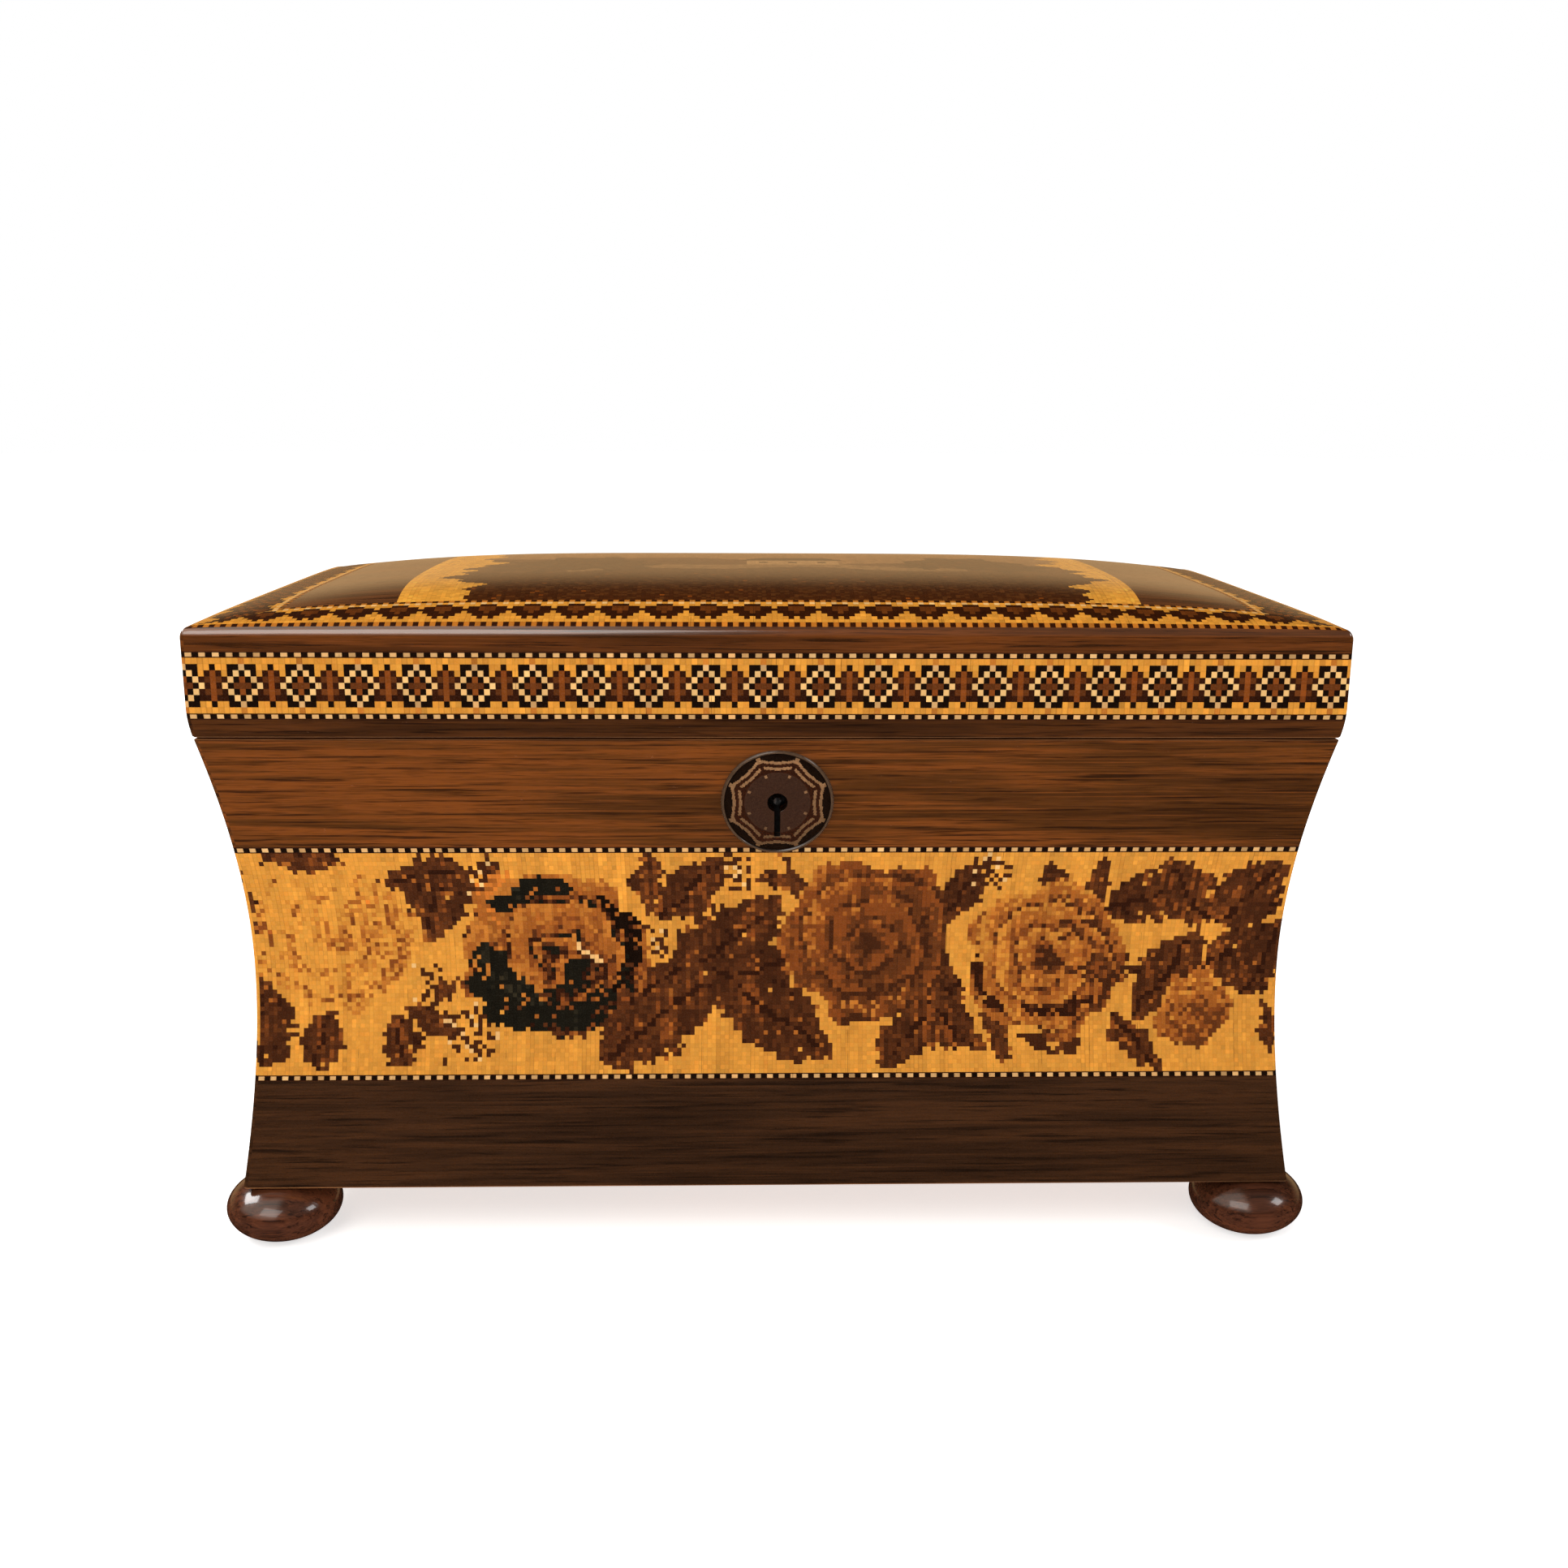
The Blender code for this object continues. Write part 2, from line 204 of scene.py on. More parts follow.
class CaddySizes(bpy.types.PropertyGroup):
    """Sizes of the veneers and mosaics."""

    proud: bpy.props.FloatProperty(
        name="Proud of the carcass", description="How far the veneers stand out from the carcass",
        default=0.0001, unit="LENGTH", precision=5)
    thickness: bpy.props.FloatProperty(
        name="Veneer thickness", description="Thickness of every veneer and mosaic",
        default=0.0006, unit="LENGTH", precision=5)
    tessera: bpy.props.FloatProperty(
        name="Floral tessera", description="Width of one tessera of the floral bands",
        default=0.00098, unit="LENGTH", precision=5)
    border_tessera: bpy.props.FloatProperty(
        name="Border tessera", description="Width of one tessera of the geometric borders",
        default=0.00114, unit="LENGTH", precision=5)
    stringing: bpy.props.FloatProperty(
        name="Stringing square", description="Length of one square of the dotted lines",
        default=0.00133, unit="LENGTH", precision=5)


class CaddyColours(bpy.types.PropertyGroup):
    """Colours of the plain woods."""

    plinth: bpy.props.FloatVectorProperty(
        name="Plinth", description="Middle tone of the rosewood round the plinth",
        subtype="COLOR", size=3, default=linear((56, 31, 12)))
    front: bpy.props.FloatVectorProperty(
        name="Upper veneer", description="Middle tone of the rosewood above the floral band",
        subtype="COLOR", size=3, default=linear((86, 46, 11)))
    rim: bpy.props.FloatVectorProperty(
        name="Rim", description="Middle tone of the rosewood at the lid's rim",
        subtype="COLOR", size=3, default=linear((84, 44, 15)))
    carcass: bpy.props.FloatVectorProperty(
        name="Carcass", description="Wood of the box and lid under the veneer",
        subtype="COLOR", size=3, default=linear((120, 78, 44)))
    lower_lid: bpy.props.FloatVectorProperty(
        name="Lower lid", description="Middle tone of the rosewood above the seam",
        subtype="COLOR", size=3, default=linear((64, 33, 8)))
    feet: bpy.props.FloatVectorProperty(
        name="Feet", description="Turned feet",
        subtype="COLOR", size=3, default=linear((74, 40, 25)))
    floor: bpy.props.FloatVectorProperty(
        name="Floor", description="Plain pale floor",
        subtype="COLOR", size=3, default=(0.92, 0.92, 0.92))


def sizes():
    return bpy.context.scene.caddy_sizes


def colours():
    return bpy.context.scene.caddy_colours


class Value:
    """A shader socket in sums: every operator adds one Math node."""

    def __init__(self, net, socket):
        self.net = net
        self.socket = socket

    def maths(self, operation, *terms, clamp=False):
        settings = {"operation": operation, "use_clamp": clamp}
        node = self.net.node("ShaderNodeMath", settings, dict(enumerate(terms)))
        return node.out(0)

    def __add__(self, other):
        return self.maths("ADD", self, other)

    def __sub__(self, other):
        return self.maths("SUBTRACT", self, other)

    def __rsub__(self, other):
        return self.maths("SUBTRACT", other, self)

    def __mul__(self, other):
        return self.maths("MULTIPLY", self, other)

    def __truediv__(self, other):
        return self.maths("DIVIDE", self, other)

    def fraction(self):
        return self.maths("FRACT", self)

    def floor(self):
        return self.maths("FLOOR", self)

    def absolute(self):
        return self.maths("ABSOLUTE", self)

    def clamped(self):
        return self.maths("ADD", self, 0.0, clamp=True)


class Node:
    """One node of a net, with its outputs as values."""

    def __init__(self, net, node):
        self.net = net
        self.node = node

    def out(self, key):
        return Value(self.net, self.node.outputs[key])


class Net:
    """The nodes of a material or of the world."""

    def __init__(self, owner, shader="Principled BSDF"):
        owner.use_nodes = True
        self.tree = owner.node_tree
        self.shader = self.tree.nodes[shader]

    def put(self, socket, value):
        if isinstance(value, Value):
            self.tree.links.new(value.socket, socket)
        elif isinstance(value, (tuple, list)) and socket.type == "RGBA":
            socket.default_value = (*value[:3], 1.0)
        else:
            socket.default_value = value

    def node(self, kind, settings=None, sockets=None):
        node = self.tree.nodes.new(kind)
        for name, setting in (settings or {}).items():
            if name == "stops":
                ramp = node.color_ramp
                while len(ramp.elements) < len(setting):
                    ramp.elements.new(0.5)
                for element, (place, colour) in zip(ramp.elements, setting):
                    element.position = place
                    element.color = (*colour, 1.0)
            else:
                setattr(node, name, setting)
        for key, value in (sockets or {}).items():
            self.put(node.inputs[key], value)
        return Node(self, node)

    def mix(self, factor, first, second, blend="MIX"):
        settings = {"data_type": "RGBA", "blend_type": blend, "clamp_factor": True}
        return self.node("ShaderNodeMix", settings, {0: factor, 6: first, 7: second}).out(2)

    def noise(self, coordinates, scale, detail, roughness=0.55, distortion=0.0):
        """Noise of a scale per metre, or per tessera, for each axis."""
        stretch = {"operation": "MULTIPLY"}
        place = self.node("ShaderNodeVectorMath", stretch, {0: coordinates, 1: scale}).out(0)
        return self.node(
            "ShaderNodeTexNoise", {},
            {"Vector": place, "Scale": 1.0, "Detail": detail, "Roughness": roughness,
             "Distortion": distortion},
        ).out("Fac")

    def ramp(self, factor, stops):
        return self.node("ShaderNodeValToRGB", {"stops": stops}, {"Fac": factor}).out("Color")

    def bump(self, height, distance, strength):
        sockets = {"Height": height, "Distance": distance, "Strength": strength}
        self.finish({"Normal": self.node("ShaderNodeBump", {}, sockets).out("Normal")})

    def finish(self, sockets):
        for name, value in sockets.items():
            self.put(self.shader.inputs[name], value)


def shade(colour, factor):
    return tuple(min(channel * factor, 1.0) for channel in colour)


def new_material(name):
    material = bpy.data.materials.new(name)
    return material, Net(material)


def rosewood(name, middle, contrast, place="grain", warm=1.0, roughness=0.24, coat=0.1, gloss=0.2):
    """Polished rosewood: dark streaks along the grain, pores, and fine scuffs in the polish."""
    middle = tuple(middle)
    material, net = new_material(name)
    if place == "object":
        where = net.node("ShaderNodeTexCoord").out("Object")
    else:
        where = net.node("ShaderNodeUVMap", {"uv_map": place}).out("UV")
    wander = net.noise(where, (14, 60, 14), 2.0)
    figure = net.noise(where, (16, 520, 520), 4.0, 0.62, 0.35)
    zones = net.noise(where, (7, 75, 75), 2.0, 0.5, 0.6)
    pores = net.noise(where, (150, 3200, 3200), 2.0, 0.6)
    tone = (figure * 0.62 + zones * 0.5 + wander * 0.16 - 0.14).clamped()
    dark = shade(middle, 1 - contrast)
    light = tuple(c * (1 + contrast * k * 1.5) for c, k in zip(middle, (1.15 * warm, 1.0, 0.7)))
    base = net.ramp(tone, ((0.34, dark), (0.47, middle), (0.58, light), (0.70, middle)))
    dashes = net.noise(where, (34, 1150, 1150), 3.0, 0.62, 0.25)
    base = net.mix(((dashes - 0.525) * 9.0).clamped() * 0.8, base, shade(dark, 0.45))
    threads = net.noise(where, (22, 2100, 2100), 2.0, 0.5, 0.3)
    base = net.mix(((threads - 0.56) * 8.0).clamped() * 0.55, base, shade(light, 1.12))
    base = net.mix(((0.47 - pores) * 5.0).clamped() * 0.5, base, shade(dark, 0.55))
    scuffs = net.noise(where, (420, 900, 900), 3.0, 0.7)
    base = net.mix(((scuffs - 0.66) * 6.0).clamped() * 0.25, base, shade(light, 1.5))
    net.finish({
        "Base Color": base,
        "Roughness": scuffs * 0.16 + (roughness - 0.08),
        "Coat Weight": coat,
        "Coat Roughness": 0.08,
        "Specular IOR Level": gloss,
    })
    net.bump(figure * 0.5 + pores * 0.6, 0.0002, 0.1)
    return material


def mosaic(name, roughness=0.27, coat=0.06, lines=0.34):
    """Mosaic of end-grain tesserae: each has its own wood, and fine glue lines part them."""
    material, net = new_material(name)
    wood = net.node("ShaderNodeAttribute", {"attribute_name": "wood"}).out("Color")
    cells = net.node("ShaderNodeUVMap", {"uv_map": "tesserae"}).out("UV")
    parts = net.node("ShaderNodeSeparateXYZ", {}, {0: cells})
    u, v = parts.out("X"), parts.out("Y")
    ragged = net.noise(cells, (2.3, 2.3, 1), 3.0, 0.7)
    across_edge = 0.5 - (u.fraction() - 0.5).absolute()
    along_edge = 0.5 - (v.fraction() - 0.5).absolute()
    upright = (1 - across_edge * 5.0).clamped()
    level = (1 - along_edge * 5.5).clamped()
    strip = net.node("ShaderNodeTexWhiteNoise", {"noise_dimensions": "1D"}, {"W": u.floor()})
    strong = ((strip.out("Value") - 0.55) * 3.0).clamped() + 0.25
    grime = (upright * strong * lines + level * (lines * 0.3)) * (ragged * 1.7)
    grain = net.noise(cells, (5.0, 0.9, 1), 4.0, 0.7)
    mottle = net.noise(cells, (0.35, 0.35, 1), 3.0, 0.6)
    base = net.mix(grain, (0.84, 0.84, 0.84), (1.16, 1.16, 1.16))
    base = net.mix(1.0, wood, base, "MULTIPLY")
    base = net.mix(mottle * 0.5, base, net.mix(1.0, base, (0.82, 0.74, 0.62), "MULTIPLY"))
    base = net.mix(grime.clamped(), base, net.mix(1.0, base, (0.36, 0.25, 0.16), "MULTIPLY"))
    seam = ((u / 11.3).fraction() - 0.5).absolute()
    crack = ((seam - 0.494) * 240.0).clamped() * ((mottle - 0.42) * 6.0).clamped()
    base = net.mix(crack * 0.7, base, BLACK)
    net.finish({
        "Base Color": base,
        "Roughness": ragged * 0.1 + (roughness - 0.05),
        "Coat Weight": coat,
        "Coat Roughness": 0.14,
        "Specular IOR Level": 0.18,
    })
    net.bump(1 - upright * 0.5 - level * 0.4 + grain * 0.3, 0.0001, 0.2)
    return material


def looks_collection():
    """The collection that holds every piece."""
    name = "tea caddy looks"
    found = bpy.data.collections.get(name)
    if not found:
        found = bpy.data.collections.new(name)
        bpy.context.scene.collection.children.link(found)
    return found


def add_sheet(name, points, faces, woods=None, tesserae=None, grain=None):
    """A sheet of faces, given thickness inward, with a wood per face and maps per corner."""
    mesh = bpy.data.meshes.new(name)
    mesh.from_pydata([tuple(p) for p in points], [], [tuple(int(i) for i in f) for f in faces])
    corners = np.array([len(f) for f in faces])
    if woods is not None:
        layer = mesh.color_attributes.new("wood", "FLOAT_COLOR", "CORNER")
        rgba = np.ones((corners.sum(), 4), np.float32)
        rgba[:, :3] = np.repeat(np.asarray(woods, np.float32), corners, axis=0)
        layer.data.foreach_set("color", rgba.ravel())
    for map_name, values in (("tesserae", tesserae), ("grain", grain)):
        if values is not None:
            layer = mesh.uv_layers.new(name=map_name)
            layer.data.foreach_set("uv", np.asarray(values, np.float32).ravel())
    bm = bmesh.new()
    bm.from_mesh(mesh)
    bmesh.ops.remove_doubles(bm, verts=bm.verts, dist=1e-6)
    bmesh.ops.dissolve_degenerate(bm, edges=bm.edges, dist=1e-7)
    for face in bm.faces:
        face.smooth = True
    for edge in bm.edges:
        edge.smooth = not edge.is_boundary
    bm.to_mesh(mesh)
    bm.free()
    obj = bpy.data.objects.new(name, mesh)
    looks_collection().objects.link(obj)
    solid = obj.modifiers.new("thickness", "SOLIDIFY")
    solid.thickness = sizes().thickness
    solid.offset = -1.0
    return obj


def dress(obj, material):
    """Gives a piece its material and its body."""
    obj.data.materials.clear()
    obj.data.materials.append(material)
    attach(obj, "root")


def settle(obj):
    """Applies a piece's modifiers."""
    graph = bpy.context.evaluated_depsgraph_get()
    done = bpy.data.meshes.new_from_object(obj.evaluated_get(graph), depsgraph=graph)
    obj.modifiers.clear()
    obj.data = done


def cut_with(obj, bm):
    """Cuts a piece with a shape that is then thrown away."""
    mesh = bpy.data.meshes.new("cutter")
    bm.to_mesh(mesh)
    bm.free()
    layer = mesh.color_attributes.new("wood", "FLOAT_COLOR", "CORNER")
    layer.data.foreach_set("color", (*BLACK, 1.0) * len(mesh.loops))
    cutter = bpy.data.objects.new("cutter", mesh)
    looks_collection().objects.link(cutter)
    boolean = obj.modifiers.new("cut", "BOOLEAN")
    boolean.object = cutter
    boolean.solver = "EXACT"
    settle(obj)
    bpy.data.objects.remove(cutter, do_unlink=True)
    bpy.data.meshes.remove(mesh)


def side_halves(side):
    """How far out a side stands from the middle, and half its length."""
    return (HALF_WIDTH, HALF_DEPTH) if side % 2 else (HALF_DEPTH, HALF_WIDTH)


def ring_stations(cell):
    """Places round the four sides: side, share along it, corner turn, and the column's count."""
    stations, columns = [], []
    counted = 0
    for side in range(4):
        half = side_halves(side)[1] - CORNER_ROUND - LEAN_ALLOWANCE
        count = max(int(round(2 * half / cell)), 1)
        for i in range(count):
            stations.append((side, 2 * i / count - 1, 0.0, counted + i))
            columns.append((side, (2 * i + 1) / count - 1, i - count / 2 + 0.5))
        for step in range(CORNER_STEPS):
            turn = math.pi / 2 * step / CORNER_STEPS
            stations.append((side, 1.0, turn, counted + count + step / CORNER_STEPS))
            columns.append((side, 1.01, count / 2 + 0.5))
        counted += count + 1
    return stations, columns, counted


def ring_row(stations, inward, z):
    """Points round the box at an inward distance from the rim, at a height."""
    radius = max(CORNER_ROUND - inward + inset_at(z), 0.05 * MM)
    points = []
    for side, share, turn, _ in stations:
        out, along = SIDES[side]
        reach, run = (half - inward - radius for half in side_halves(side))
        a = reach + radius * math.cos(turn)
        b = share * run + radius * math.sin(turn)
        points.append((out[0] * a + along[0] * b, out[1] * a + along[1] * b, z))
    return points


def fold_row(stations, t):
    """Points on the rounded fold between the lid's side and its top, t from 0 to 1."""
    proud = sizes().proud
    turn = t * math.acos(1 - BORDER_EDGE / RIM_ROUND)
    inward = RIM_ROUND * (1 - math.cos(turn)) - proud * (1 - t)
    fold = np.array(ring_row(stations, inward, RIM_Z))
    top = np.array(ring_row(stations, BORDER_EDGE, RIM_Z))
    rise = cushion_rise(top[:, 0], top[:, 1]) + 1.5 * proud
    fold[:, 2] = RIM_Z - RIM_ROUND * (1 - math.sin(turn)) + t * rise
    return [tuple(point) for point in fold]


def ring_sheet(name, rows, cell, woods_of=None, folds=0):
    """A closed strip round the box. A row is (inward, z), and rows of the rim's fold may follow."""
    stations, columns, counted = ring_stations(cell)
    n = len(stations)
    points = []
    for inward, z in rows:
        points += ring_row(stations, inward, z)
    for step in range(1, folds + 1):
        points += fold_row(stations, step / folds)
    faces, tesserae, grain = [], [], []
    perimeter = 4 * (HALF_WIDTH + HALF_DEPTH)
    for j in range(len(rows) + folds - 1):
        for i in range(n):
            k = (i + 1) % n
            faces.append((j * n + i, j * n + k, (j + 1) * n + k, (j + 1) * n + i))
            u0 = stations[i][3]
            u1 = stations[k][3] if k else counted
            tesserae += [(u0, j), (u1, j), (u1, j + 1), (u0, j + 1)]
            g0, g1 = u0 / counted * perimeter, u1 / counted * perimeter
            h0, h1 = points[j * n + i][2], points[(j + 1) * n + i][2]
            grain += [(g0, h0), (g1, h0), (g1, h1), (g0, h1)]
    woods = woods_of(columns, rows) if woods_of else None
    return add_sheet(name, points, faces, woods, tesserae, grain)


def turned(profile, sides, centre=(0.0, 0.0)):
    """Points and faces of a profile of (radius, height) turned about an upright axis."""
    points, faces = [], []
    for r, z in profile:
        for i in range(sides):
            angle = 2 * math.pi * i / sides
            points.append((centre[0] + r * math.cos(angle), centre[1] + r * math.sin(angle), z))
    for j in range(len(profile) - 1):
        for i in range(sides):
            k = (i + 1) % sides
            faces.append((j * sides + i, (j + 1) * sides + i, (j + 1) * sides + k, j * sides + k))
    return points, faces


def rows_at(levels):
    """Rows that follow the side, a little proud of the carcass."""
    return [(inset_at(z) - sizes().proud, z) for z in levels]


def level_rows(low, high, count):
    """Evenly spaced rows between two heights."""
    return rows_at([low + (high - low) * j / count for j in range(count + 1)])


def varied(rng, tones, spread):
    """Each tessera's own shade of its wood."""
    tones = np.asarray(tones, float)
    light = np.exp(rng.normal(0, spread, tones.shape[:-1]))[..., None]
    hue = rng.normal(0, 0.03, tones.shape[:-1])[..., None] * np.array((-0.3, 0.6, 1.6))
    return np.clip(tones * light * (1 + hue), 0.001, 0.98)


def cloud(x, z, size_x, size_z, rng):
    """Smooth random values from 0 to 1 that change over a size along each axis."""
    u, v = x / size_x, z / size_z
    u, v = u - u.min(), v - v.min()
    lattice = rng.random((int(u.max()) + 2, int(v.max()) + 2))
    i, j = u.astype(int), v.astype(int)
    a, b = u - i, v - j
    a, b = a * a * (3 - 2 * a), b * b * (3 - 2 * b)
    low = lattice[i, j] * (1 - a) + lattice[i + 1, j] * a
    high = lattice[i, j + 1] * (1 - a) + lattice[i + 1, j + 1] * a
    return low * (1 - b) + high * b


class Picture:
    """Tesserae at places in millimetres that figures are laid into, one wood at a time."""

    def __init__(self, x, z, ground, seed):
        x, z = np.asarray(x, float), np.asarray(z, float)
        self.rng = rng = np.random.default_rng(seed)
        self.flat_x = x
        self.x = x + (cloud(x, z, 4.0, 4.0, rng) - 0.5) * 2.4 + rng.normal(0, 0.22, x.shape)
        self.z = z + (cloud(x, z, 4.0, 4.0, rng) - 0.5) * 2.4 + rng.normal(0, 0.22, x.shape)
        self.streak = 0.6 * cloud(x, z, 1.1, 5.5, rng) + 0.4 * cloud(x, z, 3.2, 11.0, rng)
        self.chance = rng.random(x.shape)
        self.second = rng.random(x.shape)
        self.tones = np.tile(np.array(ground), (*x.shape, 1))
        self.tones *= (0.86 + 0.28 * self.streak)[..., None]

    def lay(self, mask, tone, share=1.0):
        self.tones[mask & (self.chance < share)] = tone

    def pick(self, mask, level, woods):
        """Lays the wood that a level from 0, dark, to 1, light, calls for, a little mixed."""
        level = level + 0.62 * (self.streak - 0.5) + 0.30 * (self.second - 0.5)
        index = np.clip((level * len(woods)).astype(int), 0, len(woods) - 1)
        self.tones[mask] = np.array(woods)[index][mask]

    def leaf(self, x0, z0, x1, z1, width):
        """A toothed leaf from stalk to tip, with a midrib and ribs of darker wood."""
        length = math.hypot(x1 - x0, z1 - z0)
        dx, dz = (x1 - x0) / length, (z1 - z0) / length
        along = ((self.x - x0) * dx + (self.z - z0) * dz) / length
        aside = (self.z - z0) * dx - (self.x - x0) * dz
        t = np.clip(along, 0, 1)
        saw = np.abs(((along * length / 3.1 + 0.3 * np.sign(aside)) % 1.0) - 0.5) * 2
        shape = np.sin(np.pi * t ** 0.8) ** 0.75 * (1 + 0.14 * (saw - 0.5) * 2)
        inside = (along > 0) & (along < 1) & (np.abs(aside) < width / 2 * shape)
        ribs = np.abs(((along * length / 4.2 - np.abs(aside) / 3.6) % 1.0) - 0.5)
        deep = 1 - np.clip(np.abs(aside) / (width / 2), 0, 1)
        self.pick(inside, 0.34 + 0.5 * (ribs - 0.25) + 0.22 * deep, LEAF_WOODS)
        self.lay(inside & (self.streak > 0.64), RUSSET, 0.42)
        self.lay(inside & (self.second > 0.965), ORANGE)
        self.lay(inside & (self.second > 0.992), GOLD)
        self.lay(inside & (np.abs(aside) < 0.6) & (along < 0.86) & (width > 7), UMBER, 0.85)

    def fleck(self, x0, z0, x1, z1):
        """A spray of single tesserae."""
        inside = np.abs(self.x - (x0 + x1) / 2) < abs(x1 - x0) / 2
        inside &= np.abs(self.z - (z0 + z1) / 2) < abs(z1 - z0) / 2
        self.tones[inside & (self.second < 0.34)] = LEAF
        self.tones[inside & (self.second > 0.92)] = CREAM

    def rose(self, x, z, rx, rz, eye, woods, base, depth, whorls, turn, light=2.2, grit=0.2):
        """A full rose: shaded petals in whorls round an eye that sits off its middle."""
        outer = np.hypot((self.x - x) / rx, (self.z - z) / rz)
        angle = np.arctan2(self.z - z, self.x - x)
        edge = 1 + 0.06 * np.cos(5 * angle + turn) + 0.04 * np.cos(9 * angle - turn)
        inside = outer < edge
        t = np.clip(outer, 0, 1)
        cx, cz = eye[0] + (x - eye[0]) * t, eye[1] + (z - eye[1]) * t
        around = np.arctan2(self.z - cz, self.x - cx)
        petals = 0.5 + 0.5 * np.cos(5 * around + turn + 5 * t)
        spiral = (t * whorls + around / (2 * np.pi) + 0.20 * petals) % 1.0
        level = base + depth * (spiral - 0.5) + 0.24 * np.cos(around - light) * t
        level -= 0.22 * (spiral < 0.14) + 0.6 * np.exp(-(t / 0.12) ** 2)
        level += grit * (self.chance - 0.5)
        self.pick(inside, level, woods)

    def sweep(self, x, z, radius, width, start, stop, tone, share):
        """A crescent: part of a ring, widest in its middle, its ends given in degrees."""
        r = np.hypot(self.x - x, self.z - z)
        angle = np.degrees(np.arctan2(self.z - z, self.x - x)) % 360
        span = (stop - start) % 360
        t = ((angle - start) % 360) / span
        shape = np.sin(np.pi * np.clip(t, 0, 1)) ** 0.6
        inside = (t < 1) & (np.abs(r - radius) < width / 2 * shape)
        self.lay(inside, tone, share)
        self.lay(inside & (self.streak > 0.62), shade(tone, 1.9), 0.55 * share)

    def finished(self, spread=0.07):
        """The woods of all tesserae, varied one by one and by the strip that they were cut from."""
        column = np.zeros_like(self.flat_x)
        keys = np.round(self.flat_x / 1.9).astype(int)
        for key in np.unique(keys):
            column[keys == key] = self.rng.normal(0, 0.05)
        woods = varied(self.rng, self.tones, spread) * np.exp(column)[..., None]
        return np.clip(woods, 0.0005, 0.97)


# Woods of leaves and roses, from dark to light
LEAF_WOODS = (UMBER, LEAF, LEAF, WALNUT, BROWN, BROWN, RUSSET)
PALE_ROSE = (RUSSET, ORANGE, AMBER, HONEY, GOLD, GOLD, GOLD)
DARK_ROSE = (GREY_BLACK, UMBER, WALNUT, RUSSET, ORANGE, ORANGE, AMBER)
BROWN_ROSE = (LEAF, BROWN, BROWN, RUSSET, RUSSET, ORANGE, AMBER)
AMBER_ROSE = (LEAF, BROWN, RUSSET, ORANGE, ORANGE, AMBER, HONEY)
SMALL_ROSE = (BROWN, RUSSET, ORANGE, ORANGE, AMBER, HONEY)

# Figures of the floral band, with places and lengths in millimetres.
# Rose: middle, radii, eye, woods, level, depth, whorls, turn, side of the light, grit.
ROSES = (
    (-94.6, 70.2, 17.4, 16.2, (-89.5, 73.0), PALE_ROSE, 0.64, 0.34, 2.6, 0.4, 2.6, 0.55),
    (-47.0, 66.8, 20.2, 18.6, (-41.5, 61.5), DARK_ROSE, 0.60, 0.55, 2.6, 1.3, 2.3, 0.25),
    (21.5, 69.4, 19.2, 18.4, (19.7, 67.9), BROWN_ROSE, 0.47, 0.42, 3.2, 2.4, 2.4),
    (61.0, 64.6, 17.4, 18.2, (66.6, 67.0), AMBER_ROSE, 0.60, 0.46, 3.6, 0.0, 2.6, 0.3),
    (94.2, 52.9, 8.4, 8.8, (94.2, 52.9), SMALL_ROSE, 0.50, 0.35, 2.4, 0.7, 2.2, 0.45),
)
# Leaf: stalk, tip and width
LEAVES = (
    (-108.7, 88.4, -91.2, 88.0, 6.0), (-111.8, 80.5, -111.3, 71.1, 2.2),
    (-112.7, 40.3, -111.6, 60.9, 16.3), (-100.1, 39.8, -95.6, 53.7, 9.5),
    (-68.4, 88.6, -75.7, 69.1, 14.6), (-67.5, 85.2, -83.6, 83.0, 8.6),
    (-80.5, 39.7, -82.2, 52.0, 8.4), (-79.8, 53.6, -67.5, 47.6, 7.0),
    (-72.9, 54.0, -68.0, 62.4, 2.9), (-60.7, 89.5, -59.5, 78.5, 2.5),
    (-66.5, 83.8, -60.3, 80.4, 1.8), (-26.9, 90.4, -26.3, 75.6, 6.6),
    (-24.2, 74.8, -9.8, 87.4, 12.0), (-3.4, 83.1, 8.5, 82.2, 4.2),
    (1.8, 89.7, 6.3, 78.4, 1.8), (-22.2, 59.5, 3.0, 78.4, 15.6),
    (-36.9, 41.8, -10.4, 62.4, 16.6), (-37.7, 52.1, -16.6, 64.3, 11.5),
    (-13.3, 63.2, 14.2, 41.2, 16.6), (-8.9, 61.0, 8.4, 65.7, 8.4),
    (41.5, 59.4, 23.6, 40.2, 14.0), (34.3, 55.7, 46.4, 43.3, 9.6),
    (37.6, 74.3, 45.6, 88.4, 9.0), (62.0, 79.2, 60.0, 88.6, 6.0),
    (70.2, 76.7, 73.2, 89.3, 4.2), (49.2, 52.8, 52.2, 40.3, 5.4),
    (73.6, 76.4, 96.6, 83.9, 11.4), (95.9, 73.4, 85.4, 88.4, 10.0),
    (97.6, 73.3, 113.0, 87.9, 13.6), (96.2, 62.5, 115.2, 71.0, 13.6),
    (104.9, 55.3, 112.6, 74.4, 11.6), (80.9, 51.6, 95.5, 72.9, 12.8),
    (75.2, 51.2, 87.2, 39.2, 7.2), (110.5, 54.4, 112.3, 39.9, 4.0),
)
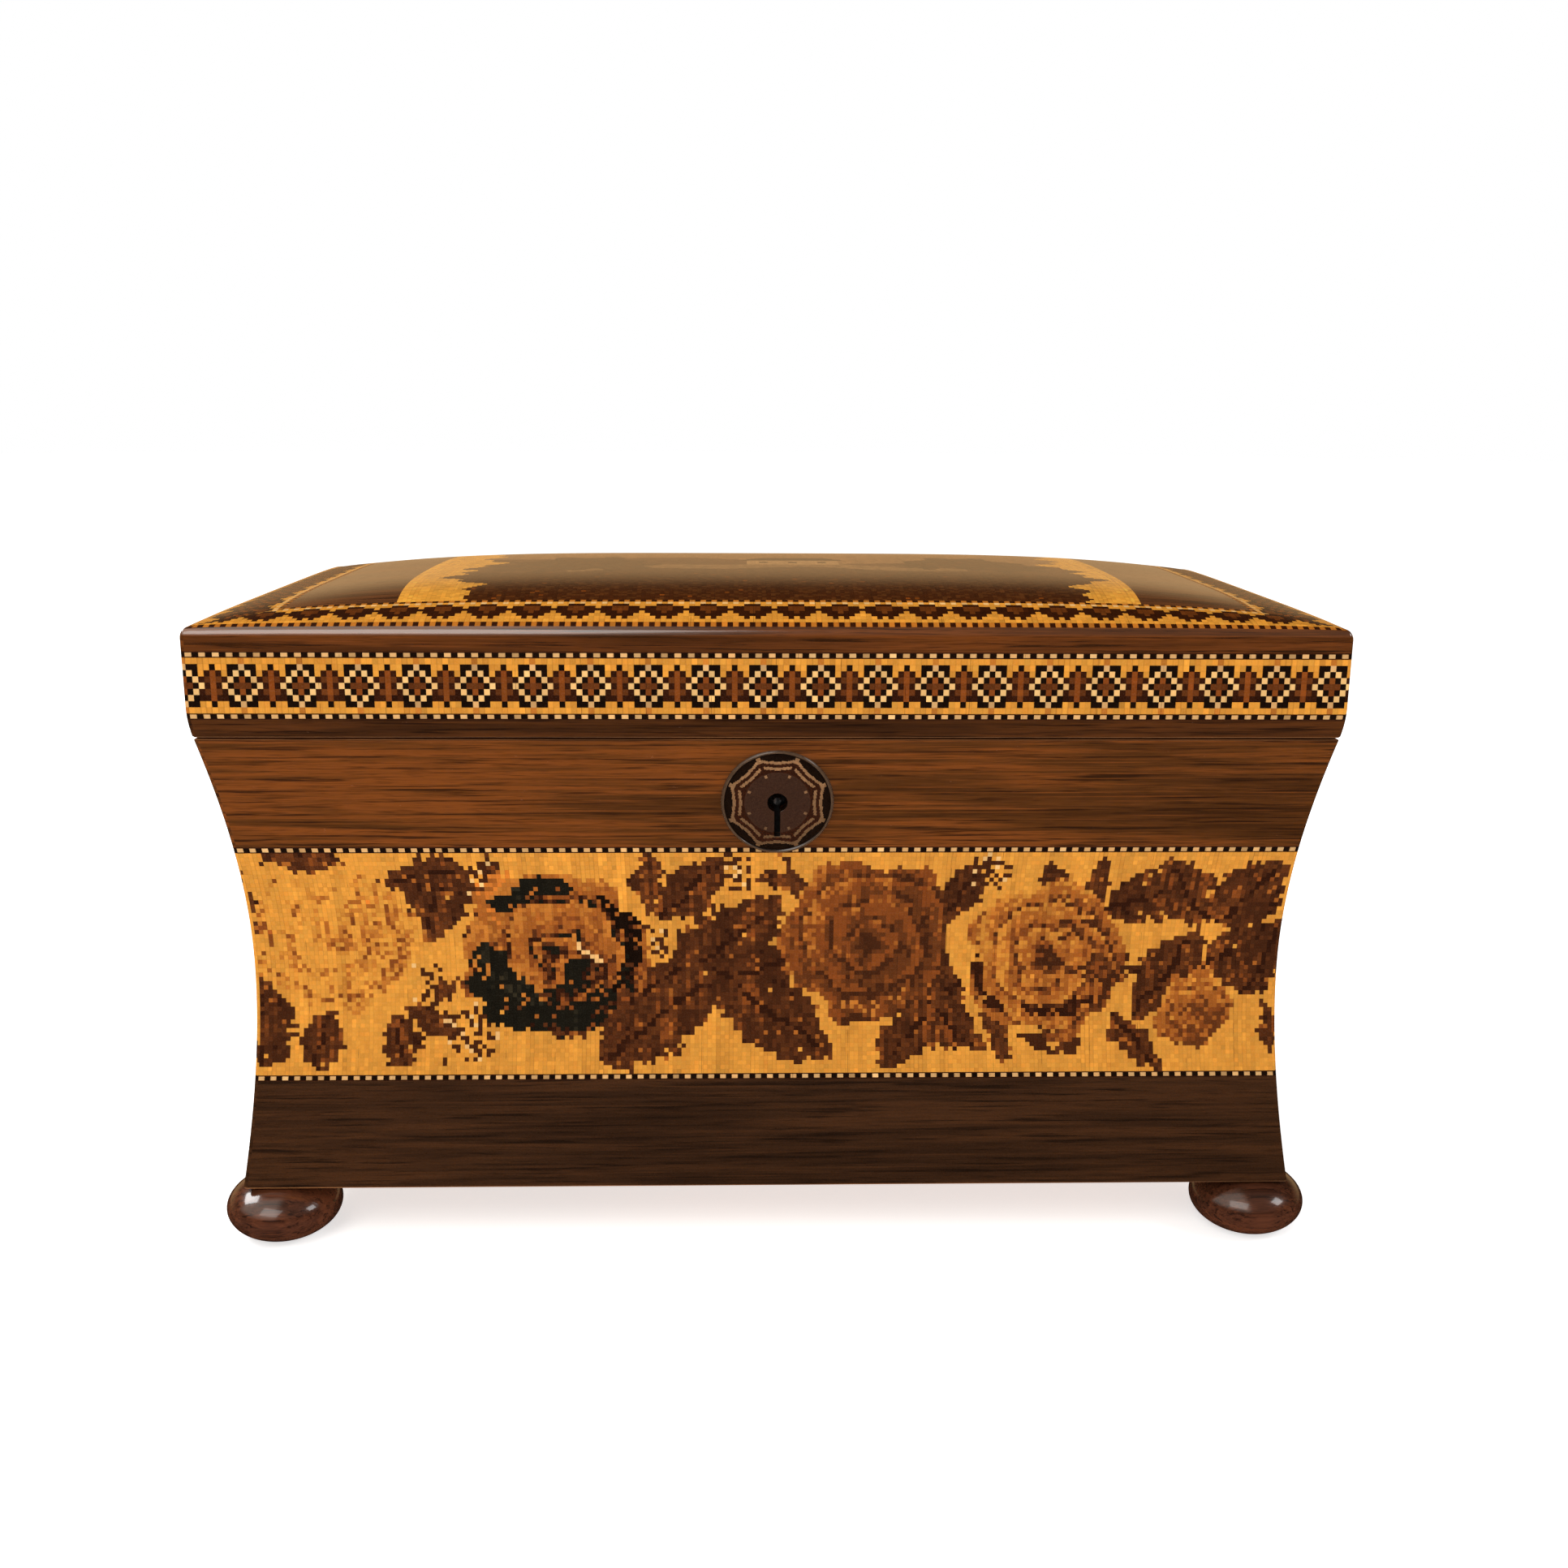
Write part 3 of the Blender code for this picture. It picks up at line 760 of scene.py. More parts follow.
# Crescent: middle, radius, width, ends in degrees, wood and share of its tesserae
SWEEPS = (
    (-48.0, 65.5, 13.6, 11.6, 166, 284, GREY_BLACK, 0.9),
    (-48.0, 65.5, 12.0, 1.6, 190, 252, SLATE, 0.6),
    (-48.0, 66.0, 15.6, 4.2, 66, 150, GREY_BLACK, 0.9),
    (-44.0, 67.5, 14.0, 4.4, 316, 66, BLACK, 0.66),
    (-44.5, 61.5, 9.4, 7.8, 250, 345, GREY_BLACK, 0.8),
    (-41.5, 61.5, 2.2, 4.0, 20, 340, GREY_BLACK, 0.95),
    (-42.0, 62.0, 5.4, 1.5, 350, 120, CREAM, 0.55),
    (-56.0, 79.0, 6.0, 5.0, 90, 250, ORANGE, 0.8),
    (61.0, 65.0, 15.8, 2.2, 176, 240, UMBER, 0.9),
    (61.5, 65.5, 13.4, 2.4, 236, 322, UMBER, 0.85),
    (62.5, 57.0, 12.6, 4.2, 238, 300, LEAF, 0.8),
    (66.6, 67.0, 4.6, 1.5, 0, 359, LEAF, 0.75),
    (66.6, 67.0, 7.6, 1.4, 300, 200, LEAF, 0.65),
    (21.0, 67.5, 13.8, 2.0, 236, 330, AMBER, 0.45),
    (-96.0, 72.0, 13.8, 2.0, 165, 200, RUSSET, 0.7),
    (-89.0, 73.0, 5.5, 2.0, 20, 150, ORANGE, 0.6),
)
# Spray: two corners
SPRAYS = (
    (-71.0, 53.4, -61.0, 42.0), (-11.4, 89.2, -4.6, 81.4), (43.4, 89.4, 51.6, 81.0),
    (-78.0, 56.0, -72.0, 64.0), (-66.0, 88.0, -58.0, 80.0), (-30.0, 66.0, -22.0, 72.0),
)


def floral_picture(x, z, mirrored, seed):
    """The long band: five roses in a row among leaves, on golden ground."""
    picture = Picture(-x if mirrored else x, z, GOLD, seed)
    for leaf in LEAVES:
        picture.leaf(*leaf)
    for spray in SPRAYS:
        picture.fleck(*spray)
    for rose in ROSES:
        picture.rose(*rose)
    for sweep in SWEEPS:
        picture.sweep(*sweep)
    return picture.finished()


def end_picture(x, z, seed):
    """The short bands: one rose among leaves, with a small flower on each side."""
    picture = Picture(x, z, GOLD, seed)
    for side in (-1, 1):
        for x0, z0, x1, z1, width in (
            (10, 72, 34, 86, 14), (9, 58, 33, 42, 14), (14, 66, 27, 68, 8),
            (44, 60, 54, 40, 9), (43, 70, 55, 87, 9), (30, 56, 43, 42, 5), (6, 48, 10, 39, 5),
            (7, 80, 4, 89, 5),
        ):
            picture.leaf(side * x0, z0, side * x1, z1, width)
        picture.rose(side * 37, 65, 8.5, 8.5, (side * 37, 65), SMALL_ROSE, 0.52, 0.35, 2.4, 0.7)
    picture.rose(0, 64.5, 17.5, 18, (3.5, 66), AMBER_ROSE, 0.55, 0.55, 3.4, 1.0)
    picture.sweep(0, 65, 14.6, 3.0, 190, 300, UMBER, 0.85)
    return picture.finished()


def floral_woods(columns, rows):
    """Woods of the floral band on all four sides."""
    count = len(rows) - 1
    z = np.array([(rows[j][1] + rows[j + 1][1]) / 2 / MM for j in range(count)])
    side = np.array([c[0] for c in columns])
    share = np.array([c[1] for c in columns])
    woods = np.zeros((count, len(columns), 3))
    for k in range(4):
        of_side = side == k
        half = (side_halves(k)[1] - CORNER_ROUND) / MM
        reach = half - np.array([inset_at(value * MM) / MM for value in z])
        x = share[of_side][None, :] * reach[:, None]
        grid = np.broadcast_to(z[:, None], x.shape)
        if k % 2:
            woods[:, of_side] = end_picture(x, grid, SEED + 2 + k)
        else:
            woods[:, of_side] = floral_picture(x, grid, k == 2, SEED + k // 2)
    return woods.reshape(-1, 3)


# Keys of the drawn patterns
WOOD_KEYS = {
    "d": UMBER, "a": AMBER, "p": CREAM, "g": GOLD, "b": BROWN, "r": RUSSET, "t": TAN, "k": BLACK,
}

# The lid's band from the middle of one diamond to the next, its lowest row first
DIAMOND_PATTERN = (
    "aggggggggg",
    "tkkggkggkk",
    "kpkddrddkp",
    "rkpdbrbdpk",
    "bbkpdrdpkb",
    "rkpdbrbdpk",
    "kpkgdrdgkp",
    "tkkggkggkk",
    "aggggggggg",
)


def diamond_woods(columns, rows):
    """Woods of the diamonds. The front's stand two columns to the left of its middle."""
    rng = np.random.default_rng(SEED + 10)
    tones = []
    for keys in DIAMOND_PATTERN:
        for side, _, column in columns:
            shift = 2 if side == 0 else 0
            tones.append(WOOD_KEYS[keys[(math.floor(column) + shift) % len(keys)]])
    return varied(rng, tones, 0.10)


def line_woods(columns, rows):
    """Dotted stringing: pale and black squares in turn, between two dark lines."""
    rng = np.random.default_rng(SEED + 11)
    tones = []
    for j in range(len(rows) - 1):
        squares = (TAN, BLACK) if j == 1 else (UMBER, UMBER)
        tones += [squares[math.floor(column) % 2] for _, _, column in columns]
    return varied(rng, tones, 0.14)


class CADDY_OT_carcass(bpy.types.Operator):
    """Finish the wood of the box and lid under their veneers, and the steel of the lock"""

    bl_idname = "caddy.carcass"
    bl_label = "Carcass and lock"

    def execute(self, context):
        wood = rosewood(
            "carcass wood", colours().carcass, 0.28, "object", roughness=0.6, coat=0.0)
        steel, net = new_material("lock steel")
        where = net.node("ShaderNodeTexCoord").out("Object")
        rust = net.noise(where, (700, 700, 700), 4.0, 0.65)
        spots = ((rust - 0.5) * 7.0).clamped()
        net.finish({
            "Base Color": net.mix(spots, (0.15, 0.155, 0.16), (0.06, 0.04, 0.03)),
            "Metallic": 1 - spots * 0.7,
            "Roughness": rust * 0.4 + 0.25,
        })
        net.bump(rust, 0.0002, 0.2)
        for name, material in (("box", wood), ("lid", wood), ("lock", steel)):
            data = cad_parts[name].data
            data.materials.clear()
            data.materials.append(material)
        return {"FINISHED"}


class CADDY_OT_veneers(bpy.types.Operator):
    """Lay the plain rosewood veneers round the box and lid"""

    bl_idname = "caddy.veneers"
    bl_label = "Rosewood veneers"

    def execute(self, context):
        woods = colours()
        plinth = rosewood("plinth rosewood", woods.plinth, 0.34, roughness=0.28, coat=0.1)
        front = rosewood("upper rosewood", woods.front, 0.50, warm=1.2)
        rim = rosewood("rim rosewood", woods.rim, 0.45, roughness=0.15, coat=0.75, gloss=0.5)
        lower = rosewood("lower lid rosewood", woods.lower_lid, 0.45)
        for name, low, high, count, folds, material, slot in (
            ("plinth_veneer", BASE_Z + BASE_SHY, PLINTH_TOP, 14, 0, plinth, "box_veneer"),
            ("upper_veneer", BOX_LINE_TOP, SEAM_Z - SEAM_SHY, 14, 0, front, "box_veneer"),
            ("lid_lower_veneer", LID_Z + SEAM_SHY, LID_VENEER_TOP, 4, 0, lower, "lid_veneer"),
            ("rim_veneer", LID_LINE_TOP, RIM_Z - RIM_ROUND, 3, FOLD_STEPS, rim, "lid_veneer"),
        ):
            piece = ring_sheet(name, level_rows(low, high, count), VENEER_CELL, folds=folds)
            if name == "upper_veneer":
                cut_with(piece, rod(VENEER_HOLE_RADIUS, 48))
            dress(piece, material)
        return {"FINISHED"}


class CADDY_OT_mosaics(bpy.types.Operator):
    """Lay the floral band, the band of diamonds and the four dotted lines"""

    bl_idname = "caddy.mosaics"
    bl_label = "Mosaic bands"

    def execute(self, context):
        floral = mosaic("floral mosaic")
        count = int(round((FLORAL_HIGH - FLORAL_LOW) / sizes().tessera))
        rows = level_rows(FLORAL_LOW, FLORAL_HIGH, count)
        dress(ring_sheet("floral_band", rows, sizes().tessera, floral_woods), floral)
        border = mosaic("border mosaic", lines=0.42)
        rows = level_rows(DIAMOND_LOW, DIAMOND_HIGH, len(DIAMOND_PATTERN))
        band = ring_sheet("diamond_band", rows, sizes().border_tessera, diamond_woods)
        dress(band, border)
        stringing = mosaic("stringing", lines=0.5)
        for name, low, high, slot in (
            ("lower_box_line", PLINTH_TOP, FLORAL_LOW, "box_veneer"),
            ("upper_box_line", FLORAL_HIGH, BOX_LINE_TOP, "box_veneer"),
            ("lower_lid_line", LID_VENEER_TOP, DIAMOND_LOW, "lid_veneer"),
            ("upper_lid_line", DIAMOND_HIGH, LID_LINE_TOP, "lid_veneer"),
        ):
            rows = rows_at([low + (high - low) * share for share in LINE_SHARES])
            dress(ring_sheet(name, rows, sizes().stringing, line_woods), stringing)
        return {"FINISHED"}


# The lid's border from its outer edge inward, along the front and back and at the ends
BORDER_ROWS = (
    "dadadada",
    "gggggggg",
    "gggdgdgg",
    "ggdddddg",
    "gdddbddd",
    "dddbbbdd",
    "gddbbbdd",
    "gggdddgg",
    "gpgpgpgp",
    "dadadada",
)
END_BORDER_ROWS = (
    BORDER_ROWS[:6] + ("bddrdddr", "ddrdddrd", "bddrdddr", "ddrdddrd", "bddrdddr") + BORDER_ROWS[5:]
)


def lid_sheet(name, outline, woods, tesserae, material):
    """A sheet on the lid's cushion. outline is a list of faces of (x, y) corners."""
    places = np.array(outline).reshape(-1, 2)
    z = RIM_Z + cushion_rise(places[:, 0], places[:, 1]) + 1.5 * sizes().proud
    z -= rim_drop(np.minimum(HALF_WIDTH - np.abs(places[:, 0]), HALF_DEPTH - np.abs(places[:, 1])))
    points = np.column_stack((places, z))
    faces = np.arange(len(points)).reshape(-1, 4)
    piece = add_sheet(name, points, faces, woods, tesserae, places)
    dress(piece, material)
    return piece


def lay_border():
    """The mosaic border of the lid's top, mitred at the corners."""
    border = mosaic("lid border mosaic", lines=0.42)
    rng = np.random.default_rng(SEED + 20)
    faces, tones, cells = [], [], []
    columns_seen = 0
    for side, (out, along) in enumerate(SIDES):
        reach, run = side_halves(side)
        width, next_width = BORDER_INNER - BORDER_EDGE, END_BORDER_INNER - BORDER_EDGE
        pattern = BORDER_ROWS
        if side % 2:
            width, next_width = next_width, width
            pattern = END_BORDER_ROWS
        count = 2 * int(round(run / sizes().border_tessera))
        step = 2 * run / count
        lines = []
        for j in range(len(pattern) + 1):
            share = j / len(pattern)
            lines.append((BORDER_EDGE + width * share, run - BORDER_EDGE - next_width * share))
        for j, keys in enumerate(pattern):
            (d0, mitre0), (d1, mitre1) = lines[j:j + 2]
            for i in range(count):
                a0, a1 = i * step - run, (i + 1) * step - run
                if min(abs(a0), abs(a1)) > mitre0:
                    continue
                quad = []
                for a, d, mitre in (
                    (a0, d0, mitre0), (a1, d0, mitre0), (a1, d1, mitre1), (a0, d1, mitre1),
                ):
                    b = max(min(a, mitre), -mitre)
                    c = reach - d
                    quad.append((out[0] * c + along[0] * b, out[1] * c + along[1] * b))
                faces.append(quad)
                tones.append(WOOD_KEYS[keys[(i - count // 2) % len(keys)]])
                u = columns_seen + i
                cells += [(u, j), (u + 1, j), (u + 1, j + 1), (u, j + 1)]
        columns_seen += count + 3
    lid_sheet("lid_border", faces, varied(rng, tones, 0.10), cells, border)


def lay_picture():
    """The picture on the lid's top, and the veneer spandrels to its left and right."""
    half_x, half_y = HALF_WIDTH - END_BORDER_INNER, HALF_DEPTH - BORDER_INNER
    picture = mosaic("lid picture mosaic", lines=0.3, roughness=0.2, coat=0.3)
    veneer = rosewood(
        "spandrel rosewood", linear((88, 50, 24)), 0.45, roughness=0.2, coat=0.45, gloss=0.3)
    faces, cells, centres = [], [], []
    edges_y = np.linspace(-half_y, half_y, PICTURE_ROWS + 1)
    arcs = cartouche_half(edges_y)
    for j in range(PICTURE_ROWS):
        for i in range(PICTURE_COLUMNS):
            s0, s1 = 2 * i / PICTURE_COLUMNS - 1, 2 * (i + 1) / PICTURE_COLUMNS - 1
            quad = [
                (s0 * arcs[j], edges_y[j]), (s1 * arcs[j], edges_y[j]),
                (s1 * arcs[j + 1], edges_y[j + 1]), (s0 * arcs[j + 1], edges_y[j + 1]),
            ]
            faces.append(quad)
            cells += [(i, j), (i + 1, j), (i + 1, j + 1), (i, j + 1)]
            centres.append(np.mean(quad, axis=0) / MM)
    woods = landscape(*np.array(centres).T)
    lid_sheet("lid_picture", faces, woods, cells, picture)
    for name, sign in (("left", -1), ("right", 1)):
        faces, cells = [], []
        for j in range(0, PICTURE_ROWS, SPANDREL_ROWS):
            above = j + SPANDREL_ROWS
            for i in range(SPANDREL_STEPS):
                quad = []
                for a, b in ((i, j), (i + 1, j), (i + 1, above), (i, above)):
                    x = arcs[b] + (half_x - arcs[b]) * a / SPANDREL_STEPS
                    quad.append((sign * x, edges_y[b]))
                faces.append(quad if sign > 0 else quad[::-1])
                cells += [(0, 0), (1, 0), (1, 1), (0, 1)]
        lid_sheet("lid_spandrel_" + name, faces, None, cells, veneer)


class CADDY_OT_lid_top(bpy.types.Operator):
    """Lay the border, the spandrels and the picture on the lid's cushion top"""

    bl_idname = "caddy.lid_top"
    bl_label = "Lid top"

    def execute(self, context):
        lay_border()
        lay_picture()
        return {"FINISHED"}


def cartouche_half(y):
    """Half width of the picture's ground at a place between front and back."""
    return (77.1 + 3.8 * (1 - (y / HALF_DEPTH) ** 2)) * MM


def landscape(x, y):
    """A made-up river view in dark woods with a ragged edge, on golden ground."""
    picture = Picture(x, y, linear((232, 160, 58)), SEED + 30)
    rng = np.random.default_rng(SEED + 31)
    waves = rng.uniform(0, 6.28, 8)
    ragged = 2.2 * np.sin(y / 3.1 + waves[0]) + 1.6 * np.sin(y / 1.3 + waves[1])
    ragged += 2.5 * np.sin(y / 7.7 + waves[2])
    bulge = 6.0 * (1 - (y / 48) ** 2)
    inside = np.abs(x - 1.7) < 64.5 + bulge + ragged - y / 24
    ground = -14 + 5 * np.sin(x / 21 + waves[3]) + 2.2 * np.sin(x / 6.3 + waves[4])
    hills = 8 + 7 * np.sin(x / 27 + waves[5]) + 3 * np.sin(x / 9.5 + waves[6])
    chance = picture.second
    water = (y > ground) & (y < ground + 9) & (np.abs(x) < 46)
    figures = [
        (inside, BROWN),
        (y > hills, linear((138, 92, 52))),
        ((y > hills) & (chance < 0.25), linear((156, 106, 62))),
        (y < hills, linear((96, 54, 26))),
        ((y < hills - 6) & (chance < 0.5), linear((84, 46, 22))),
        (water, linear((120, 80, 44))),
        (water & (np.sin(y * 2.6) > 0.4) & (chance < 0.5), linear((150, 104, 62))),
        (y < ground, LEAF),
        ((y < ground) & (chance < 0.35), linear((86, 46, 15))),
        ((y < ground) & (chance > 0.993), RUSSET),
    ]
    for cx, cy, r in (
        (-44, 2, 13), (-53, -6, 11), (-36, -5, 9), (47, 4, 12), (56, -4, 10), (38, -3, 7),
    ):
        crown = np.hypot(x - cx, (y - cy) * 0.9) < r + 1.8 * np.sin(7 * np.arctan2(y - cy, x - cx))
        figures += [
            (crown, LEAF), (crown & (chance < 0.25), UMBER), (crown & (chance > 0.93), BROWN)]
    walls = (np.abs(x - 6) < 11) & (np.abs(y - 3) < 5)
    roof = (y > 8) & (y < 15) & (np.abs(x - 6) < 13.5 - (y - 8) * 0.9)
    figures += [(walls, linear((170, 122, 74))), (roof, UMBER)]
    for wx in (-1, 6, 13):
        figures.append((walls & (np.abs(x - wx) < 1.2) & (np.abs(y - 3.5) < 1.7), UMBER))
    for mask, wood in figures:
        picture.lay(inside & mask, wood)
    return picture.finished(0.10)


def disc_frame():
    """Place and turn of the escutcheon: its own +Z points out of the sloping front."""
    middle = (Vector(DISC_LOW) + Vector(DISC_HIGH)) / 2
    z = middle.z
    radius = (DISC_HIGH[0] - DISC_LOW[0]) / 2
    lean = (inset_at(z - radius) - inset_at(z + radius)) / (2 * radius)
    face = Vector((middle.x, -HALF_DEPTH + inset_at(z), z))
    return Matrix.Translation(face) @ Matrix.Rotation(math.pi / 2 + math.atan(lean), 4, "X")


def rod(radius, sides):
    """A short rod on the escutcheon's axis, to cut with."""
    bm = bmesh.new()
    bmesh.ops.create_cone(
        bm, cap_ends=True, segments=sides, radius1=radius, radius2=radius, depth=CUT_DEPTH,
        matrix=disc_frame())
    return bm


DISC_LINE = linear((146, 106, 70))
DISC_HEART = linear((60, 36, 23))
DISC_RIM = linear((82, 62, 46))


def disc_tone(radius, angle):
    """Wood of the escutcheon's stickware, its pale lines with painted shade: lighter at the top,
    duller below. radius in millimetres, angle in radians.
    """
    # Painted shade: the pale lines are brightest at the top and darkest at the bottom, as if lit
    # from above
    line = tuple(part * (0.72 + 0.26 * math.sin(angle)) for part in DISC_LINE)
    if radius > 11.25:
        return DISC_RIM
    if radius > 10.95:
        return BLACK
    eighth = math.pi / 4
    off = (angle + eighth / 2) % eighth - eighth / 2
    flat = radius * math.cos(1.25 * off)
    from_corner = abs(off) - eighth / 2
    for knob, size in ((10.75, 0.42), (10.1, 0.5), (6.5, 0.42)):
        if math.hypot(radius - knob, from_corner * radius) < size:
            return line
    if abs(flat - 9.2) < 0.32 or abs(flat - 7.8) < 0.3 and from_corner < -0.06:
        return line
    if flat > 9.5:
        return BLACK
    return UMBER if radius > 7.1 else DISC_HEART


class CADDY_OT_escutcheon(bpy.types.Operator):
    """Turn the round escutcheon, with its rings of fine squares and its keyhole"""

    bl_idname = "caddy.escutcheon"
    bl_label = "Escutcheon"

    def execute(self, context):
        # Radius and height in millimetres
        profile = [(0.0, 0.62)]
        profile += [(r, 0.62 + 0.10 * (r / 10.6) ** 2) for r in np.linspace(0.5, 10.6, 46)]
        profile += [(11.0, 0.50), (11.15, 0.50), (11.3, 0.74), (11.45, 0.88), (11.6, 0.86)]
        profile += [(11.75, 0.70), (11.88, 0.46), (11.97, 0.2), (12.0, 0.0), (12.0, -1.4)]
        profile.append((0.0, -1.4))
        points, faces = turned([(r * MM, z * MM) for r, z in profile], DISC_SIDES)
        tones, cells = [], []
        for j in range(len(profile) - 1):
            middle = (profile[j][0] + profile[j + 1][0]) / 2
            for i in range(DISC_SIDES):
                tones.append(disc_tone(middle, 2 * math.pi * (i + 0.5) / DISC_SIDES))
                cells += [(i, j), (i, j + 1), (i + 1, j + 1), (i + 1, j)]
        rng = np.random.default_rng(SEED + 40)
        piece = add_sheet("stickware_escutcheon", points, faces, varied(rng, tones, 0.12), cells)
        piece.modifiers.clear()
        piece.matrix_world = disc_frame()
        bpy.context.view_layer.update()
        cut_with(piece, rod(KEYHOLE_RADIUS, 40))
        slot = bmesh.new()
        bmesh.ops.create_cube(slot, size=1.0)
        bmesh.ops.scale(slot, vec=(SLOT_WIDTH, SLOT_DROP, CUT_DEPTH), verts=slot.verts)
        bmesh.ops.translate(slot, vec=(0, -SLOT_DROP / 2, 0), verts=slot.verts)
        bmesh.ops.transform(slot, matrix=disc_frame(), verts=slot.verts)
        cut_with(piece, slot)
        dress(piece, mosaic("stickware", lines=0.2, roughness=0.24, coat=0.7))
        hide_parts("escutcheon")
        return {"FINISHED"}


class CADDY_OT_feet(bpy.types.Operator):
    """Turn the four bun feet"""

    bl_idname = "caddy.feet"
    bl_label = "Turned feet"

    def execute(self, context):
        material = rosewood(
            "turned rosewood", colours().feet, 0.4, "object", roughness=0.22, coat=0.6)
        height = FOOT_HIGH[2] - FOOT_LOW[2]
        radius = (FOOT_HIGH[0] - FOOT_LOW[0]) / 2
        top_angle = math.acos(FOOT_SEAT_RADIUS / radius)
        sole_angle = math.acos(FOOT_SOLE_RADIUS / radius)
        profile = [(0.0, height)]
        for step in range(-FOOT_STEPS, FOOT_STEPS + 1):
            end = top_angle if step < 0 else sole_angle
            angle = end * abs(step) / FOOT_STEPS
            rise = height / 2 * math.sin(angle) / math.sin(end)
            rise = rise if step < 0 else -rise
            profile.append((radius * math.cos(angle), height / 2 + rise))
        profile.append((0.0, 0.0))
        for name in ("front_left", "front_right", "back_left", "back_right"):
            low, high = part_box("foot_" + name)
            centre = ((low[0] + high[0]) / 2, (low[1] + high[1]) / 2)
            piece = add_sheet("turned_foot_" + name, *turned(profile, FOOT_SIDES, centre))
            piece.modifiers.clear()
            dress(piece, material)
            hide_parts("foot_" + name)
        return {"FINISHED"}


class CADDY_OT_stage(bpy.types.Operator):
    """Set the floor, the soft lights and the camera"""

    bl_idname = "caddy.stage"
    bl_label = "Stage"

    def execute(self, context):
        scene = context.scene
        bm = bmesh.new()
        bmesh.ops.create_circle(bm, cap_ends=True, segments=96, radius=6.0)
        mesh = bpy.data.meshes.new("floor")
        bm.to_mesh(mesh)
        bm.free()
        floor = bpy.data.objects.new("floor", mesh)
        scene.collection.objects.link(floor)
        pale, net = new_material("pale floor")
        net.finish({
            "Base Color": tuple(colours().floor), "Roughness": 0.9, "Specular IOR Level": 0.1,
            "Emission Color": (1, 1, 1), "Emission Strength": 0.64,
        })
        mesh.materials.append(pale)
        floor.visible_glossy = False

        studio_walls(scene)
        scene.view_settings.view_transform = "Standard"
        for name, place, aim, size, power, colour in (
            ("key", (-0.55, -1.1, 1.25), (0, 0, 0.07), (1.0, 0.8), 8.0, (1, 0.98, 0.95)),
            ("left softbox", (-1.0, 0.25, 0.95), (-0.05, -0.03, 0.13), (0.55, 0.5), 12, (1, 1, 1)),
            ("right softbox", (0.95, -0.35, 0.8), (0.05, -0.03, 0.1), (0.35, 0.35), 3, (1, 1, 1)),
        ):
            light = bpy.data.lights.new(name, "AREA")
            light.shape = "RECTANGLE"
            light.size, light.size_y = size
            light.energy = power
            light.color = colour
            lamp = bpy.data.objects.new(name, light)
            lamp.location = place
            lamp.rotation_euler = (Vector(aim) - Vector(place)).to_track_quat("-Z", "Y").to_euler()
            scene.collection.objects.link(lamp)

        place_camera(scene)
        return {"FINISHED"}


def studio_walls(scene):
    """White behind and soft grey all round; polish mirrors a window and a low glow."""
    world = bpy.data.worlds.new("studio")
    scene.world = world
    net = Net(world, "Background")
    where = net.node("ShaderNodeTexCoord").out("Generated")
    parts = net.node("ShaderNodeSeparateXYZ", {}, {0: where})
    across, behind, height = parts.out("X"), parts.out("Y"), parts.out("Z")
    path = net.node("ShaderNodeLightPath")
    glow = ((behind - 0.1) * 1.6).clamped() * ((0.31 - height) * 4.6).clamped()
    glow = glow * ((height + 0.14) * 12.0).clamped()
    seen = net.mix(glow, (0.012, 0.009, 0.007), (0.60, 0.37, 0.17))
    window = (across * -6.0).clamped() * 0.9 + 0.1
    window = window * ((0.12 - behind) * 6.0).clamped() * ((height - 0.25) * 4.0).clamped()
    seen = net.mix(window, seen, (1.85, 1.65, 1.45))
    light = net.mix(path.out("Is Glossy Ray"), (0.46, 0.45, 0.435), seen)
    light = net.mix(path.out("Is Camera Ray"), light, (1.0, 1.0, 1.0))
    net.finish({"Color": light})


